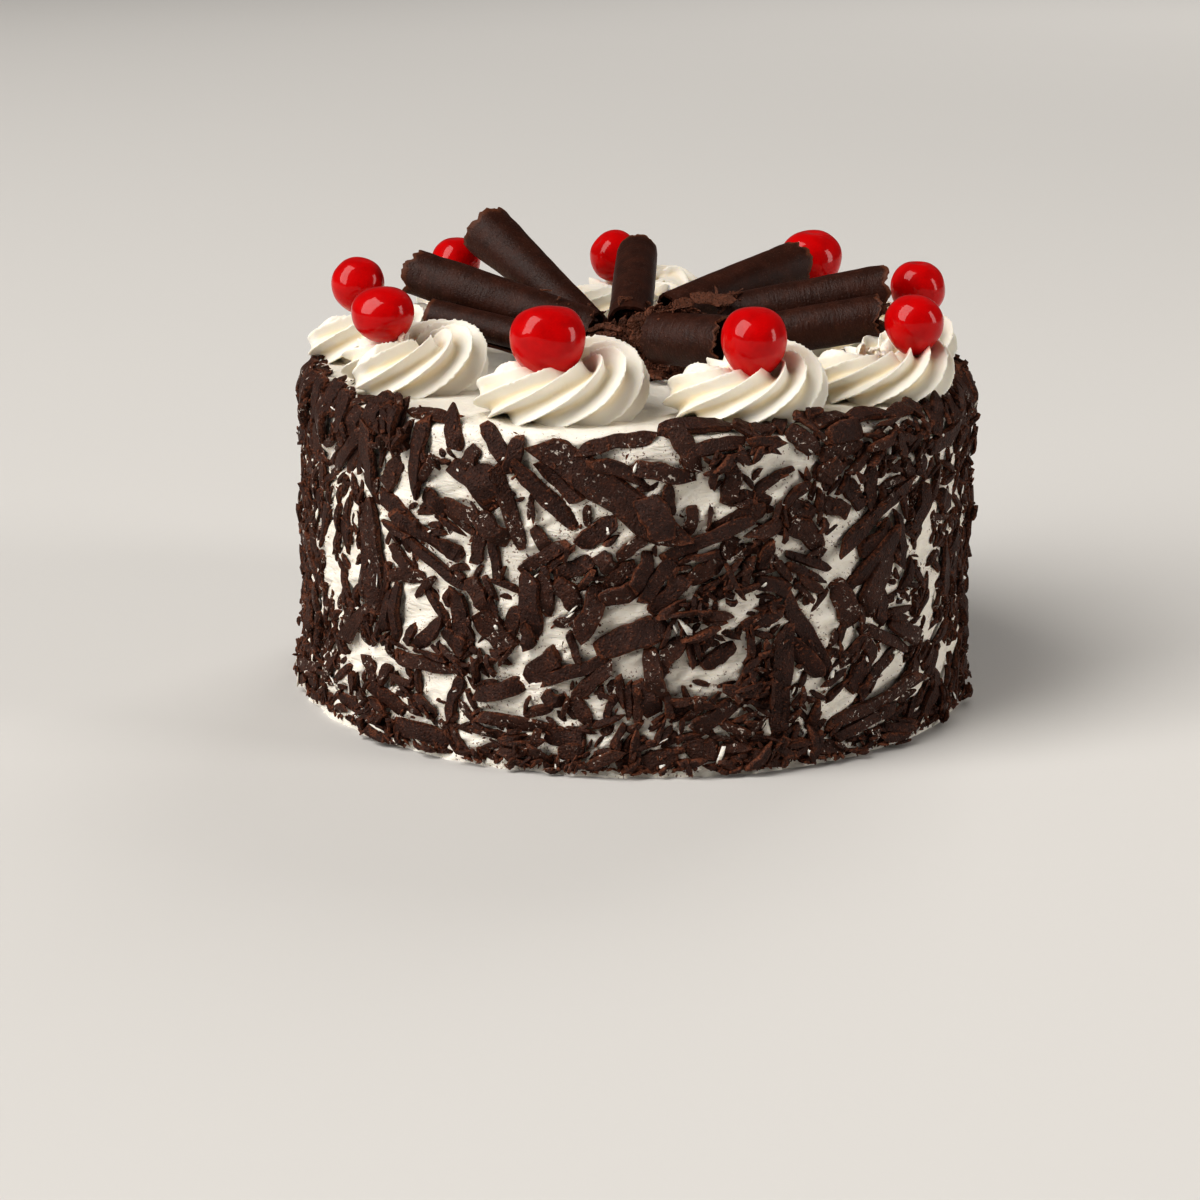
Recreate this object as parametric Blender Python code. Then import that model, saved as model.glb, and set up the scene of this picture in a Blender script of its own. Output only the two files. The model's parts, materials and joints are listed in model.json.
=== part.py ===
"""Black forest cake, whole: a tall round cream cake in a coat of chocolate flakes, with a ring of
piped swirls, a cherry in each swirl, and rolled chocolate curls heaped on shavings in the middle.

Metres, +Z up.  The origin is the middle of the flat underside.  An azimuth is in degrees: 0 is
the front, -Y, and 90 is the right-hand side, +X.
"""

import math
from collections import namedtuple

import bmesh
import bpy
from mathutils import Matrix, Vector

# ---- driving dimensions ---------------------------------------------------------------------

GAP = 0.0003                # kept between pieces that touch

# the body, out to the middle of its coat of flakes
BODY_HEIGHT = 0.1032
BASE_RADIUS = 0.1135
MIDDLE_RADIUS = 0.1110
TOP_RADIUS = 0.1105
TOP_EDGE = 0.0050           # rounding of the upper edge
FOOT_EDGE = 0.0030          # rounding of the lower edge
BODY_SIDES = 72
BODY_WAVES = ((2, 0.0006, 0.6), (4, 0.0005, 2.1), (10, 0.0003, 4.0))   # lobes, depth, phase

# the piped swirls
SWIRL_RIDGES = 8
SWIRL_SIDES = 32
SWIRL_TWIST = math.radians(95)      # how far a ridge winds from the foot to the middle
SWIRL_GROOVE = 0.16                 # depth of the grooves, in parts of the radius
SWIRL_LEAN = 0.13                   # how much higher a swirl is on its high side
SWIRL_SOCKET = 0.0010               # room left round what is pressed into a swirl
SWIRL_FLOOR = 0.0020                # thinnest cream left under what is pressed into it
# outline of a swirl from the foot to the middle: radius and height in parts of the whole
SWIRL_OUTLINE = ((0.93, 0.00), (1.00, 0.16), (0.95, 0.46), (0.79, 0.80), (0.56, 0.98), (0.28, 0.90))

Swirl = namedtuple("Swirl", "azimuth ring width height high_side")
SWIRLS = (
    Swirl(azimuth=-101, ring=0.0865, width=0.0490, height=0.0200, high_side=60),
    Swirl(azimuth=-63, ring=0.0790, width=0.0500, height=0.0220, high_side=110),
    Swirl(azimuth=-17, ring=0.0800, width=0.0560, height=0.0235, high_side=110),
    Swirl(azimuth=23, ring=0.0805, width=0.0530, height=0.0230, high_side=140),
    Swirl(azimuth=62, ring=0.0835, width=0.0520, height=0.0205, high_side=120),
    Swirl(azimuth=101, ring=0.0830, width=0.0510, height=0.0210, high_side=120),
    Swirl(azimuth=142, ring=0.0840, width=0.0520, height=0.0215, high_side=180),
    Swirl(azimuth=181, ring=0.0850, width=0.0530, height=0.0220, high_side=120),
    Swirl(azimuth=219, ring=0.0840, width=0.0510, height=0.0210, high_side=240),
)

# the cherries: lift is the height of the middle over the cake's top
CHERRY_SIDES = 14
CHERRY_RINGS = 8
Cherry = namedtuple("Cherry", "azimuth ring lift width depth tall lean")
CHERRIES = (
    Cherry(azimuth=-102, ring=0.0945, lift=0.0231, width=0.0176, depth=0.0180, tall=0.0188, lean=10),
    Cherry(azimuth=-66, ring=0.0875, lift=0.0223, width=0.0208, depth=0.0195, tall=0.0176, lean=-12),
    Cherry(azimuth=-18.5, ring=0.0870, lift=0.0228, width=0.0230, depth=0.0205, tall=0.0212, lean=8),
    Cherry(azimuth=22.2, ring=0.0880, lift=0.0226, width=0.0200, depth=0.0200, tall=0.0216, lean=-6),
    Cherry(azimuth=63, ring=0.0950, lift=0.0222, width=0.0180, depth=0.0185, tall=0.0192, lean=8),
    Cherry(azimuth=102, ring=0.0945, lift=0.0236, width=0.0184, depth=0.0185, tall=0.0188, lean=-8),
    Cherry(azimuth=141, ring=0.0970, lift=0.0252, width=0.0222, depth=0.0210, tall=0.0210, lean=10),
    Cherry(azimuth=185, ring=0.0900, lift=0.0240, width=0.0172, depth=0.0175, tall=0.0185, lean=-6),
    Cherry(azimuth=221, ring=0.0960, lift=0.0232, width=0.0172, depth=0.0175, tall=0.0176, lean=8),
)

# the rolled curls: two ends (x, y, height over the cake's top) and the radius at each
CURL_WALL = 0.0012
CURL_PITCH = 0.0021         # from one layer of the roll to the next
CURL_TURNS = 1.3
CURL_SIDES = 16             # round the whole roll
CURL_STATIONS = 4           # along it
CURL_RAGGED = 0.0012        # how uneven the broken ends are
CURL_SLACK = CURL_PITCH / 2   # the first layer winds from this much out to this much in
Curl = namedtuple("Curl", "inner inner_radius outer outer_radius seam")
CURLS = (
    Curl((-0.0145, -0.0050, 0.0160), 0.0074, (-0.0745, 0.0205, 0.0282), 0.0078, 200),
    Curl((-0.0155, 0.0240, 0.0095), 0.0050, (-0.0520, 0.0600, 0.0358), 0.0096, 150),
    Curl((-0.0200, -0.0250, 0.0090), 0.0062, (-0.0670, 0.0010, 0.0160), 0.0062, 60),
    Curl((-0.0018, 0.0150, 0.0146), 0.0078, (0.0008, 0.0660, 0.0278), 0.0078, 240),
    Curl((0.0162, 0.0250, 0.0172), 0.0068, (0.0550, 0.0530, 0.0276), 0.0078, 230),
    Curl((0.0270, 0.0070, 0.0164), 0.0068, (0.0805, 0.0050, 0.0268), 0.0074, 210),
    Curl((0.0400, -0.0110, 0.0125), 0.0064, (0.0775, -0.0135, 0.0198), 0.0068, 100),
    Curl((0.0050, -0.0240, 0.0135), 0.0078, (0.0310, -0.0430, 0.0148), 0.0086, 330),
)

# the heap of fine shavings under and between the curls
HEAP_CENTRE = (0.0040, 0.0060)
HEAP_RADIUS = 0.0250
HEAP_HEIGHT = 0.0215
HEAP_SIDES = 24
HEAP_RINGS = 4
HEAP_ROOM = 0.0022          # kept between the heap and the curls
HEAP_WAVES = ((3, 0.0016, 0.9), (5, 0.0012, 2.4))

# finishes: base colour, roughness
COATING = ("flake_coating", (0.060, 0.030, 0.022, 1.0), 0.60)
CREAM = ("whipped_cream", (0.900, 0.860, 0.760, 1.0), 0.45)
FRUIT = ("glazed_cherry", (0.550, 0.004, 0.004, 1.0), 0.10)
CHOCOLATE = ("dark_chocolate", (0.035, 0.016, 0.012, 1.0), 0.42)
SHAVINGS = ("chocolate_shavings", (0.070, 0.030, 0.018, 1.0), 0.65)


# ---- helpers --------------------------------------------------------------------------------

def around(azimuth, radius, height):
    """The point at this azimuth, distance from the cake's axis and height."""
    angle = math.radians(azimuth)
    return Vector((radius * math.sin(angle), -radius * math.cos(angle), height))


def on_top(place):
    """A point given by x, y and its height over the cake's top."""
    return Vector((place[0], place[1], BODY_HEIGHT + place[2]))


def waves(angle, lobes):
    """Uneven outline: the sum of a few sine lobes at this angle."""
    return sum(depth * math.sin(count * angle + phase) for count, depth, phase in lobes)


def finish(finish_values):
    """The material of one finish, made once and shared."""
    name, colour, roughness = finish_values
    material = bpy.data.materials.get(name)
    if material is None:
        material = bpy.data.materials.new(name)
        material.use_nodes = True
        shader = material.node_tree.nodes["Principled BSDF"]
        shader.inputs["Base Color"].default_value = colour
        shader.inputs["Roughness"].default_value = roughness
    return material


def add_piece(name, mesh_edit, finish_values):
    """Make the bmesh an object of the scene, shaded smooth, in its own finish."""
    bmesh.ops.recalc_face_normals(mesh_edit, faces=mesh_edit.faces)
    mesh = bpy.data.meshes.new(name)
    mesh_edit.to_mesh(mesh)
    mesh_edit.free()
    mesh.shade_smooth()
    mesh.set_sharp_from_angle(angle=math.radians(40))
    piece = bpy.data.objects.new(name, mesh)
    piece.data.materials.append(finish(finish_values))
    bpy.context.scene.collection.objects.link(piece)
    return piece


def bridge(mesh_edit, lower, upper):
    """Faces between two rings of as many points."""
    count = len(lower)
    for k in range(count):
        ahead = (k + 1) % count
        mesh_edit.faces.new((lower[k], lower[ahead], upper[ahead], upper[k]))


def cap(mesh_edit, ring, middle):
    """A fan of faces from a ring to the point in its middle."""
    centre = mesh_edit.verts.new(middle)
    for k in range(len(ring)):
        mesh_edit.faces.new((ring[k], ring[(k + 1) % len(ring)], centre))


def rings_to_mesh(rings, bottom, top):
    """A closed form from rings of points, one over the other, and its two middle points."""
    mesh_edit = bmesh.new()
    made = [[mesh_edit.verts.new(point) for point in ring] for ring in rings]
    for lower, upper in zip(made, made[1:]):
        bridge(mesh_edit, lower, upper)
    cap(mesh_edit, made[0], bottom)
    cap(mesh_edit, made[-1], top)
    return mesh_edit


# ---- what presses into the cream ------------------------------------------------------------

def inside_cherry(point, cherry, room):
    """Whether a point lies in a cherry grown by the room round it."""
    centre = around(cherry.azimuth, cherry.ring, BODY_HEIGHT + cherry.lift)
    reach = max(cherry.width, cherry.depth, cherry.tall) / 2 + room
    return (point - centre).length < reach


def inside_curl(point, curl, room):
    """Whether a point lies in a curl, taken as a round bar, grown by the room round it."""
    start = on_top(curl.inner)
    run = on_top(curl.outer) - start
    along = (point - start).dot(run) / run.length_squared
    ends = (CURL_RAGGED + room) / run.length
    if not -ends < along < 1 + ends:
        return False
    radius = curl.inner_radius + (curl.outer_radius - curl.inner_radius) * along
    return (point - start - run * along).length < radius + CURL_SLACK + room


def press(point, cherries, curls, room):
    """Lower a point of soft cream until it clears everything that is pressed into it."""
    step = Vector((0, 0, -0.0002))
    floor = BODY_HEIGHT + SWIRL_FLOOR
    lowered = point.copy()
    while lowered.z > floor:
        clear = not any(inside_cherry(lowered, cherry, room) for cherry in cherries)
        clear = clear and not any(inside_curl(lowered, curl, room) for curl in curls)
        if clear:
            break
        lowered += step
    return lowered


# ---- the pieces -----------------------------------------------------------------------------

def body_outline():
    """Radius and height up the cake's side, from the edge of the underside to the top's."""
    outline = [(BASE_RADIUS - FOOT_EDGE, 0.0), (BASE_RADIUS, FOOT_EDGE)]
    outline += [(MIDDLE_RADIUS, BODY_HEIGHT * 0.35), (MIDDLE_RADIUS - 0.0005, BODY_HEIGHT * 0.7)]
    for step in range(4):
        turn = math.radians(30 * step)
        radius = TOP_RADIUS - TOP_EDGE * (1 - math.cos(turn))
        outline.append((radius, BODY_HEIGHT - TOP_EDGE * (1 - math.sin(turn))))
    return outline


def make_body():
    rings = []
    for radius, height in body_outline():
        ring = []
        for k in range(BODY_SIDES):
            angle = math.tau * k / BODY_SIDES
            reach = radius + waves(angle, BODY_WAVES)
            ring.append(Vector((reach * math.cos(angle), reach * math.sin(angle), height)))
        rings.append(ring)
    mesh_edit = rings_to_mesh(rings, Vector((0, 0, 0)), Vector((0, 0, BODY_HEIGHT)))
    add_piece("cake_body", mesh_edit, COATING)


def swirl_point(swirl, outline_step, turn):
    """A point on a swirl's ridged surface, before anything is pressed into it."""
    radius_part, height_part = SWIRL_OUTLINE[outline_step]
    rise = outline_step / (len(SWIRL_OUTLINE) - 1)
    ridge = 0.5 + 0.5 * math.cos(SWIRL_RIDGES * (turn - SWIRL_TWIST * rise))
    crest = ridge ** 0.7
    radius = swirl.width / 2 * radius_part * (1 - SWIRL_GROOVE * (1 - crest))
    high = math.cos(turn - math.radians(swirl.high_side - 90))
    height = swirl.height * height_part * (0.86 + SWIRL_LEAN * high - 0.12 * rise * (1 - crest))
    return Vector((radius * math.cos(turn), radius * math.sin(turn), height))


def make_swirl(number, swirl):
    foot = around(swirl.azimuth, swirl.ring, BODY_HEIGHT + GAP)
    rings = []
    for step in range(len(SWIRL_OUTLINE)):
        ring = []
        for k in range(SWIRL_SIDES):
            point = foot + swirl_point(swirl, step, math.tau * k / SWIRL_SIDES)
            ring.append(press(point, CHERRIES, CURLS, SWIRL_SOCKET) if step else point)
        rings.append(ring)
    middle = foot + Vector((0, 0, swirl.height * 0.85))
    mesh_edit = rings_to_mesh(rings, foot, press(middle, CHERRIES, CURLS, SWIRL_SOCKET))
    add_piece(f"rosette_{number}", mesh_edit, CREAM)


def make_cherry(number, cherry):
    mesh_edit = bmesh.new()
    bmesh.ops.create_uvsphere(mesh_edit, u_segments=CHERRY_SIDES, v_segments=CHERRY_RINGS, radius=0.5)
    centre = around(cherry.azimuth, cherry.ring, BODY_HEIGHT + cherry.lift)
    size = Matrix.Diagonal((cherry.width, cherry.depth, cherry.tall, 1))
    turn = Matrix.Rotation(math.radians(cherry.azimuth), 4, "Z")
    lean = Matrix.Rotation(math.radians(cherry.lean), 4, "Y")
    bmesh.ops.transform(mesh_edit, matrix=Matrix.Translation(centre) @ turn @ lean @ size,
                        verts=mesh_edit.verts)
    add_piece(f"cherry_{number}", mesh_edit, FRUIT)


def curl_section(radius, seam):
    """The rolled strip in cross-section: matching points of its outer and its inner face."""
    outer, inner = [], []
    for k in range(CURL_SIDES):
        turned = CURL_TURNS * math.tau * k / (CURL_SIDES - 1)
        reach = radius + CURL_SLACK - CURL_PITCH * turned / math.tau
        direction = Vector((math.cos(turned + seam), math.sin(turned + seam), 0))
        outer.append((direction * reach, turned))
        inner.append((direction * (reach - CURL_WALL), turned))
    return outer, inner


def make_curl(number, curl):
    start = on_top(curl.inner)
    run = on_top(curl.outer) - start
    frame = run.to_track_quat("Z", "Y").to_matrix()
    mesh_edit = bmesh.new()
    stations = []
    for station in range(CURL_STATIONS):
        along = station / (CURL_STATIONS - 1)
        radius = curl.inner_radius + (curl.outer_radius - curl.inner_radius) * along
        centre = Vector((0, 0, run.length * along))
        ragged = CURL_RAGGED * (2 * along - 1) if station in (0, CURL_STATIONS - 1) else 0.0
        faces = []
        for face in curl_section(radius, math.radians(curl.seam)):
            points = []
            for offset, turned in face:
                uneven = Vector((0, 0, ragged * math.sin(2.3 * turned + number)))
                points.append(mesh_edit.verts.new(start + frame @ (centre + offset + uneven)))
            faces.append(points)
        stations.append(faces)
    for (outer_a, inner_a), (outer_b, inner_b) in zip(stations, stations[1:]):
        bridge(mesh_edit, outer_a + inner_a[::-1], outer_b + inner_b[::-1])
    for outer, inner in (stations[0], stations[-1]):
        for k in range(CURL_SIDES - 1):
            mesh_edit.faces.new((outer[k], outer[k + 1], inner[k + 1], inner[k]))
    add_piece(f"curl_{number}", mesh_edit, CHOCOLATE)


def make_heap():
    """The shavings: a low uneven mound that the curls and the swirls' feet press into."""
    foot = on_top((*HEAP_CENTRE, GAP))
    rings = []
    for step in range(HEAP_RINGS + 1):
        spread = 1 - step / (HEAP_RINGS + 1)
        ring = []
        for k in range(HEAP_SIDES):
            angle = math.tau * k / HEAP_SIDES
            reach = (HEAP_RADIUS + waves(angle, HEAP_WAVES)) * spread
            height = HEAP_HEIGHT * (1 - spread ** 1.5)
            point = foot + Vector((reach * math.cos(angle), reach * math.sin(angle), height))
            ring.append(press(point, (), CURLS, HEAP_ROOM) if step else point)
        rings.append(ring)
    middle = press(foot + Vector((0, 0, HEAP_HEIGHT)), (), CURLS, HEAP_ROOM)
    mesh_edit = rings_to_mesh(rings, foot, middle)
    add_piece("shavings_heap", mesh_edit, SHAVINGS)


def main():
    for piece in list(bpy.data.objects):
        bpy.data.objects.remove(piece)
    make_body()
    for number, swirl in enumerate(SWIRLS, start=1):
        make_swirl(number, swirl)
    for number, cherry in enumerate(CHERRIES, start=1):
        make_cherry(number, cherry)
    for number, curl in enumerate(CURLS, start=1):
        make_curl(number, curl)
    make_heap()


main()
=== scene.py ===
"""A black forest cake: cream coat, chocolate flakes, piped swirls, glazed cherries and curls."""

import bisect
import json
import math

import bmesh
import bpy
import numpy as np
from bpy.props import FloatProperty, FloatVectorProperty, IntProperty, PointerProperty
from mathutils import Matrix, Vector
from mathutils.bvhtree import BVHTree

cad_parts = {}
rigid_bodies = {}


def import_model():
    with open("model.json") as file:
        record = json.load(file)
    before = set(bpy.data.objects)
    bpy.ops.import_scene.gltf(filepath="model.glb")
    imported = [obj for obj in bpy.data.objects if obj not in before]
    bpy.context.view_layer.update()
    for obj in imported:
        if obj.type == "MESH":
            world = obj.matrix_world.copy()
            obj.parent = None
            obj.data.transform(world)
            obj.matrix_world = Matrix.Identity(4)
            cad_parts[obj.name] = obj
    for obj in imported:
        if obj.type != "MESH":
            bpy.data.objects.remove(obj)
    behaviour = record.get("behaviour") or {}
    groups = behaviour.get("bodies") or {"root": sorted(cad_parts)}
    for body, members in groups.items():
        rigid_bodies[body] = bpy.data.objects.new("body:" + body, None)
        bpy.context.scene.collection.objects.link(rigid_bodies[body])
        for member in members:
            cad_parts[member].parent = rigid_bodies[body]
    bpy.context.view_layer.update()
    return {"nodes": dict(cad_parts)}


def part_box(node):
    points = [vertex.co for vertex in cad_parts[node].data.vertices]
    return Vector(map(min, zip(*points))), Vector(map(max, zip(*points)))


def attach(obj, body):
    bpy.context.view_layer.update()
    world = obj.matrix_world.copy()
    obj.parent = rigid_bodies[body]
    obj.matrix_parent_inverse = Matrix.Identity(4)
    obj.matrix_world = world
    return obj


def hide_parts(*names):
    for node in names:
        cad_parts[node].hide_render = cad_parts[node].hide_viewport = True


bl_info = {
    "name": "Black Forest Cake",
    "version": (1, 0, 0),
    "blender": (4, 5, 0),
    "location": "3D View > Sidebar > Cake",
    "description": "Builds a black forest cake round its frame of solids",
    "category": "Object",
}

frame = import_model()

MM = 0.001
BODY_LOW, BODY_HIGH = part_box("cake_body")
COAT_RADIUS = (BODY_HIGH.x - BODY_LOW.x) / 2     # over the flakes at the foot
CAKE_TOP = BODY_HIGH.z - 0.2 * MM
SWIRL_NODES = sorted(n for n in frame["nodes"] if n.startswith("rosette"))
CHERRY_NODES = sorted(n for n in frame["nodes"] if n.startswith("cherry"))
CURL_NODES = sorted(n for n in frame["nodes"] if n.startswith("curl"))

# Long flakes round the front: azimuth, height, slope in degrees, length, width in mm.
LONG_FLAKES = (
    # left of the front, from the rim down
    (-48, 102, 78, 12.5, 7), (-37, 104, -6, 15, 4.6), (-31, 101, -66, 13.5, 5.3), (-53, 97, 80, 10, 5),
    (-64, 95, 84, 15, 7), (-48, 87, 88, 22.5, 7.5), (-37, 91, 82, 23, 5), (-43, 85, 60, 11, 6),
    (-27, 93, 75, 7.5, 4.5), (-27, 85, -38, 18, 6), (-34, 79, -32, 9, 5), (-42, 74, -28, 16, 5.5),
    (-37, 69, -30, 20, 4.6), (-28, 77, -13, 15, 5), (-31, 65, -28, 8, 5), (-26, 67, 75, 10.5, 4.5),
    (-48, 58, -83, 33, 8), (-34, 60, -29, 25, 3), (-41, 59, -38, 11, 4), (-40, 54, 4, 13.5, 4),
    (-36, 52, 42, 10, 2.5), (-31, 50, 85, 6, 2), (-33, 46, -54, 15, 2.6), (-29, 44, -80, 18, 6),
    (-42, 42, 85, 18.5, 3), (-44, 42, 80, 14, 3), (-35, 38, 45, 14.5, 4.5), (-30, 37, -25, 9, 6),
    (-39, 36, 62, 6.5, 3), (-53, 34, 48, 18, 5), (-36, 28, -3, 21, 4.5), (-45, 21, 50, 7.5, 4),
    (-49, 21, -65, 9, 4), (-30, 19, 68, 14, 4), (-44, 14, -18, 17, 5), (-36, 6, -5, 20, 6),
    (-57, 99, 84, 13, 6), (-62.5, 101, 80, 12, 6), (-68, 99, 88, 14, 6.5), (-74, 100, 82, 12, 6),
    (-80, 98, 86, 14, 6.5), (-87, 100, 80, 12, 6),
    # left half of the front
    (-23.5, 98, -58, 12.5, 5), (-20, 95.5, 78, 11, 5), (-13, 99, 0, 8, 4),
    (-4, 100, 12, 21, 4.5), (-4.7, 86, -34, 47, 9.5), (-15, 85, -44, 25, 5.5), (-3.6, 91.5, -16, 18, 2.5),
    (-25, 86, -65, 11, 8), (-21, 79.5, -72, 25, 5), (-23.5, 73, -42, 12, 6), (-8, 79, 85, 6, 2.5),
    (-6.6, 74, 38, 13, 6), (-15, 71, -50, 9, 4), (-15, 66, 34, 16, 4.3), (-23, 64, -80, 13, 3),
    (-1, 70, 42, 11, 3.5), (-25.4, 52, -50, 12, 5), (-2.9, 61.5, 40, 10, 4.5),
    (-10, 63, 25, 12, 5), (-5, 65, -40, 7, 5), (-11, 55, -50, 11, 6),
    (-14.5, 55, -82, 13, 4.5), (-17, 51, -86, 19, 6.5), (-19.5, 45, 62, 10.5, 5), (-23, 42, -45, 14, 8),
    (-17, 42, 88, 8, 4), (-11, 47, 14, 8, 3.5), (-7.3, 50, 68, 18, 6), (-1, 42.5, 22, 21, 7),
    (-10, 32, 24, 20, 4), (-10, 38.5, -75, 10.5, 2.5), (-7, 28.5, 46, 15.5, 4), (-15, 32.5, 42, 12, 6.5),
    (-22, 23.5, 18, 16, 5), (-15.5, 19, 18, 9, 3), (-13, 23, -15, 7, 4.5), (-4, 21, 68, 8, 2.5),
    (-19, 14.7, -6, 24, 4), (-11, 11, -3, 11.5, 6), (-10, 7, 5, 7.5, 5),
    (-12.5, 89, -40, 16, 4.5), (-3.2, 56.5, 15, 12, 5), (-8.8, 20, -60, 9, 4.5), (21.5, 57, -20, 12, 5),
    # right half of the front
    (9, 105.5, 3, 21, 5), (17, 105, -60, 8, 5), (20, 104, 20, 9, 5), (23, 105, 60, 6, 4),
    (6.7, 99, -62, 14, 5.5), (11.6, 99, 12, 17, 4), (26, 99.5, -50, 10, 6), (3.6, 92.5, -8, 18, 5),
    (14, 88, 88, 12, 5.5), (21, 89, 27, 13.5, 2.8), (4.2, 84, 85, 9, 4), (2.3, 79, -60, 13, 8),
    (8, 78, 80, 8, 3.5), (17.6, 84, -15, 11.5, 4), (15.3, 77, 22, 17.5, 6), (10.4, 72.5, 24, 27, 3.6),
    (26, 79, -25, 9, 5.5), (27, 72, -35, 15, 6), (14, 69.5, 80, 6.5, 5), (17, 68.5, -5, 7, 3.5),
    (0, 63, 65, 12, 4.5), (3, 60.5, 55, 16, 4.5), (10.3, 63.6, 38, 12, 5), (4.9, 56, 45, 15, 5.5),
    (27.5, 62.8, -25, 15.5, 2.8), (27, 60, -25, 15, 2.6), (4.5, 36, 55, 15, 5.5), (12.6, 36.5, 35, 11, 5),
    (28, 40.4, -59, 29, 5.5), (27.5, 34, -45, 16, 6), (23.5, 27.3, 86, 33, 6.5), (2.8, 32, -80, 15, 5),
    (1.5, 24.5, -62, 11, 6), (-1, 23.5, 90, 10.5, 2.5), (0.4, 22.5, 86, 10, 2.5), (12, 18.5, 30, 15, 6),
    (10.5, 8, -10, 9.5, 7), (3.5, 5, 5, 11.5, 6),
    # right of the front
    (33, 105, 16, 18, 4.5), (41, 104, -5, 16, 4.5), (49, 104, 10, 12, 5), (53, 104, 40, 9, 6),
    (34, 101, 5, 14, 6), (33, 96, 3, 14, 6), (31, 90.5, 60, 8, 6.5), (40, 83.5, -86, 14, 4.5),
    (36.5, 82, -52, 11, 5), (49, 86, -70, 7.5, 4.5), (52, 87.5, 85, 8, 3.6), (32.5, 78.5, -25, 9.5, 5),
    (41, 74, 27, 33, 4.8), (52.5, 73, 66, 15, 5), (61, 72, -40, 9, 6), (41.5, 67, 29, 15, 5.5),
    (47, 65, -85, 17, 3.5), (40, 60.5, 45, 24, 5), (41.5, 54.5, 57, 20, 8), (35, 49, -65, 15, 6.5),
    (43, 45, 78, 10, 4.5), (44, 35, -27, 22.5, 3.6), (49.6, 34.6, -28, 20, 5.5), (40.5, 32, -58, 9, 4.5),
    (38, 26, 55, 11, 6), (42.5, 24, 38, 18, 4), (50.5, 20.5, 38, 14, 4.5), (42, 16, 13, 38, 4),
    (40, 9.5, 12, 26, 4), (75, 31, -48, 14, 4), (82, 19, -38, 12, 5),
    (58.5, 100, 62, 13, 6), (64.5, 101, 76, 12, 6), (70, 99, 86, 13, 6), (76, 101, 80, 12, 6),
    (83, 99, 86, 14, 6.5),
)
# Patches of cream left nearly bare: azimuth, height, slope in degrees, length, width in mm.
BARE_PATCHES = (
    (-20, 106, 0, 34, 17), (-4, 106, 0, 30, 15), (-2.6, 43, 10, 18, 15), (-12.5, 46, 0, 13, 15),
    (-34.5, 48, 0, 16, 16), (-32, 23, 0, 15, 9), (-45.5, 25, 0, 11, 7), (-43, 82, 75, 18, 7),
    (-31.5, 81.5, 0, 12, 9), (-46.5, 68, 80, 16, 7), (-18.3, 32, 65, 15, 6), (0, 35, -50, 15, 9),
    (7.5, 84.5, 90, 16, 12), (20, 93.5, 5, 14, 5), (21, 87, 60, 12, 7), (34.5, 66, 60, 20, 10),
    (46, 72, 80, 13, 5), (24, 67, 0, 8, 6), (16, 50.5, 60, 10, 5), (31, 43.5, 60, 14, 9),
    (46, 24, 50, 13, 7), (64, 20, 0, 10, 8), (35, 18.5, 50, 11, 8), (-12, 77, 25, 19, 9),
    (-18, 88, 60, 11, 4), (-19, 69, 80, 12, 5), (5, 70, 60, 12, 5), (-54, 51, 80, 12, 5),
    (-38, 90, 80, 12, 4),
    (55, 60, 80, 14, 4), (-60, 70, 85, 15, 3.5), (24.5, 94, 20, 14, 9), (-63, 54, 85, 17, 8),
    (-60, 43, 80, 12, 6), (13, 33, 20, 12, 8), (6.6, 31, 0, 7, 5), (-7.4, 38.6, 30, 10, 5),
    (-13.6, 25, 0, 11, 7), (-21, 20, 0, 9, 6), (-41, 42, 60, 12, 8), (-34.8, 54, 30, 14, 8),
    (-22.5, 66, 40, 11, 6), (50, 19, 40, 12, 6), (71, 20, 60, 12, 8), (0, 72, 30, 10, 6),
    (-4.2, 77, 0, 9, 5), (1.7, 57.5, 60, 10, 5), (-25, 8, 0, 10, 3), (-5.7, 21.5, 0, 9, 4),
    (44.5, 75, 60, 10, 5), (55.7, 66, 80, 13, 6), (9, 101.5, 10, 8, 3.5),
    (2.2, 97.5, 10, 10, 4), (-51.5, 24, 30, 11, 7), (-42, 83, 80, 17, 9), (-47, 61, 75, 15, 7),
    (-32.7, 98, 20, 9, 6), (-24.6, 91, 60, 9, 5), (30, 28, 40, 10, 5), (58, 40, 80, 16, 6),
    (66, 75, 80, 16, 5), (90, 60, 75, 17, 7), (180, 106, 0, 24, 10),
)


# ---------------------------------------------------------------- settings

class CoatSettings(bpy.types.PropertyGroup):
    cream_radius: FloatProperty(
        name="Cream radius", description="Radius of the cream under the flakes, half way up",
        default=COAT_RADIUS - 6.4 * MM, subtype="DISTANCE", unit="LENGTH")
    flakes: IntProperty(
        name="Flakes", description="Middle-sized flakes pressed into the side", default=3300, min=0)
    chips: IntProperty(
        name="Chips", description="Small chips and slivers between the flakes", default=2500, min=0)
    crumbs: IntProperty(
        name="Crumbs", description="Crumbs over the flakes and the cream", default=8200, min=0)
    thickness: FloatProperty(
        name="Flake thickness", description="Thickness of a middle-sized flake",
        default=2.15 * MM, subtype="DISTANCE", unit="LENGTH")
    face: FloatVectorProperty(
        name="Flake colour", description="Colour of a flake's flat faces",
        default=(0.0250, 0.0078, 0.0042), subtype="COLOR")
    edge: FloatVectorProperty(
        name="Broken edge", description="Colour of the flakes' broken edges and of the crumbs",
        default=(0.1500, 0.0470, 0.0200), subtype="COLOR")
    cream: FloatVectorProperty(
        name="Cream colour", description="Colour of the cream coat",
        default=(0.82, 0.775, 0.69), subtype="COLOR")


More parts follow.
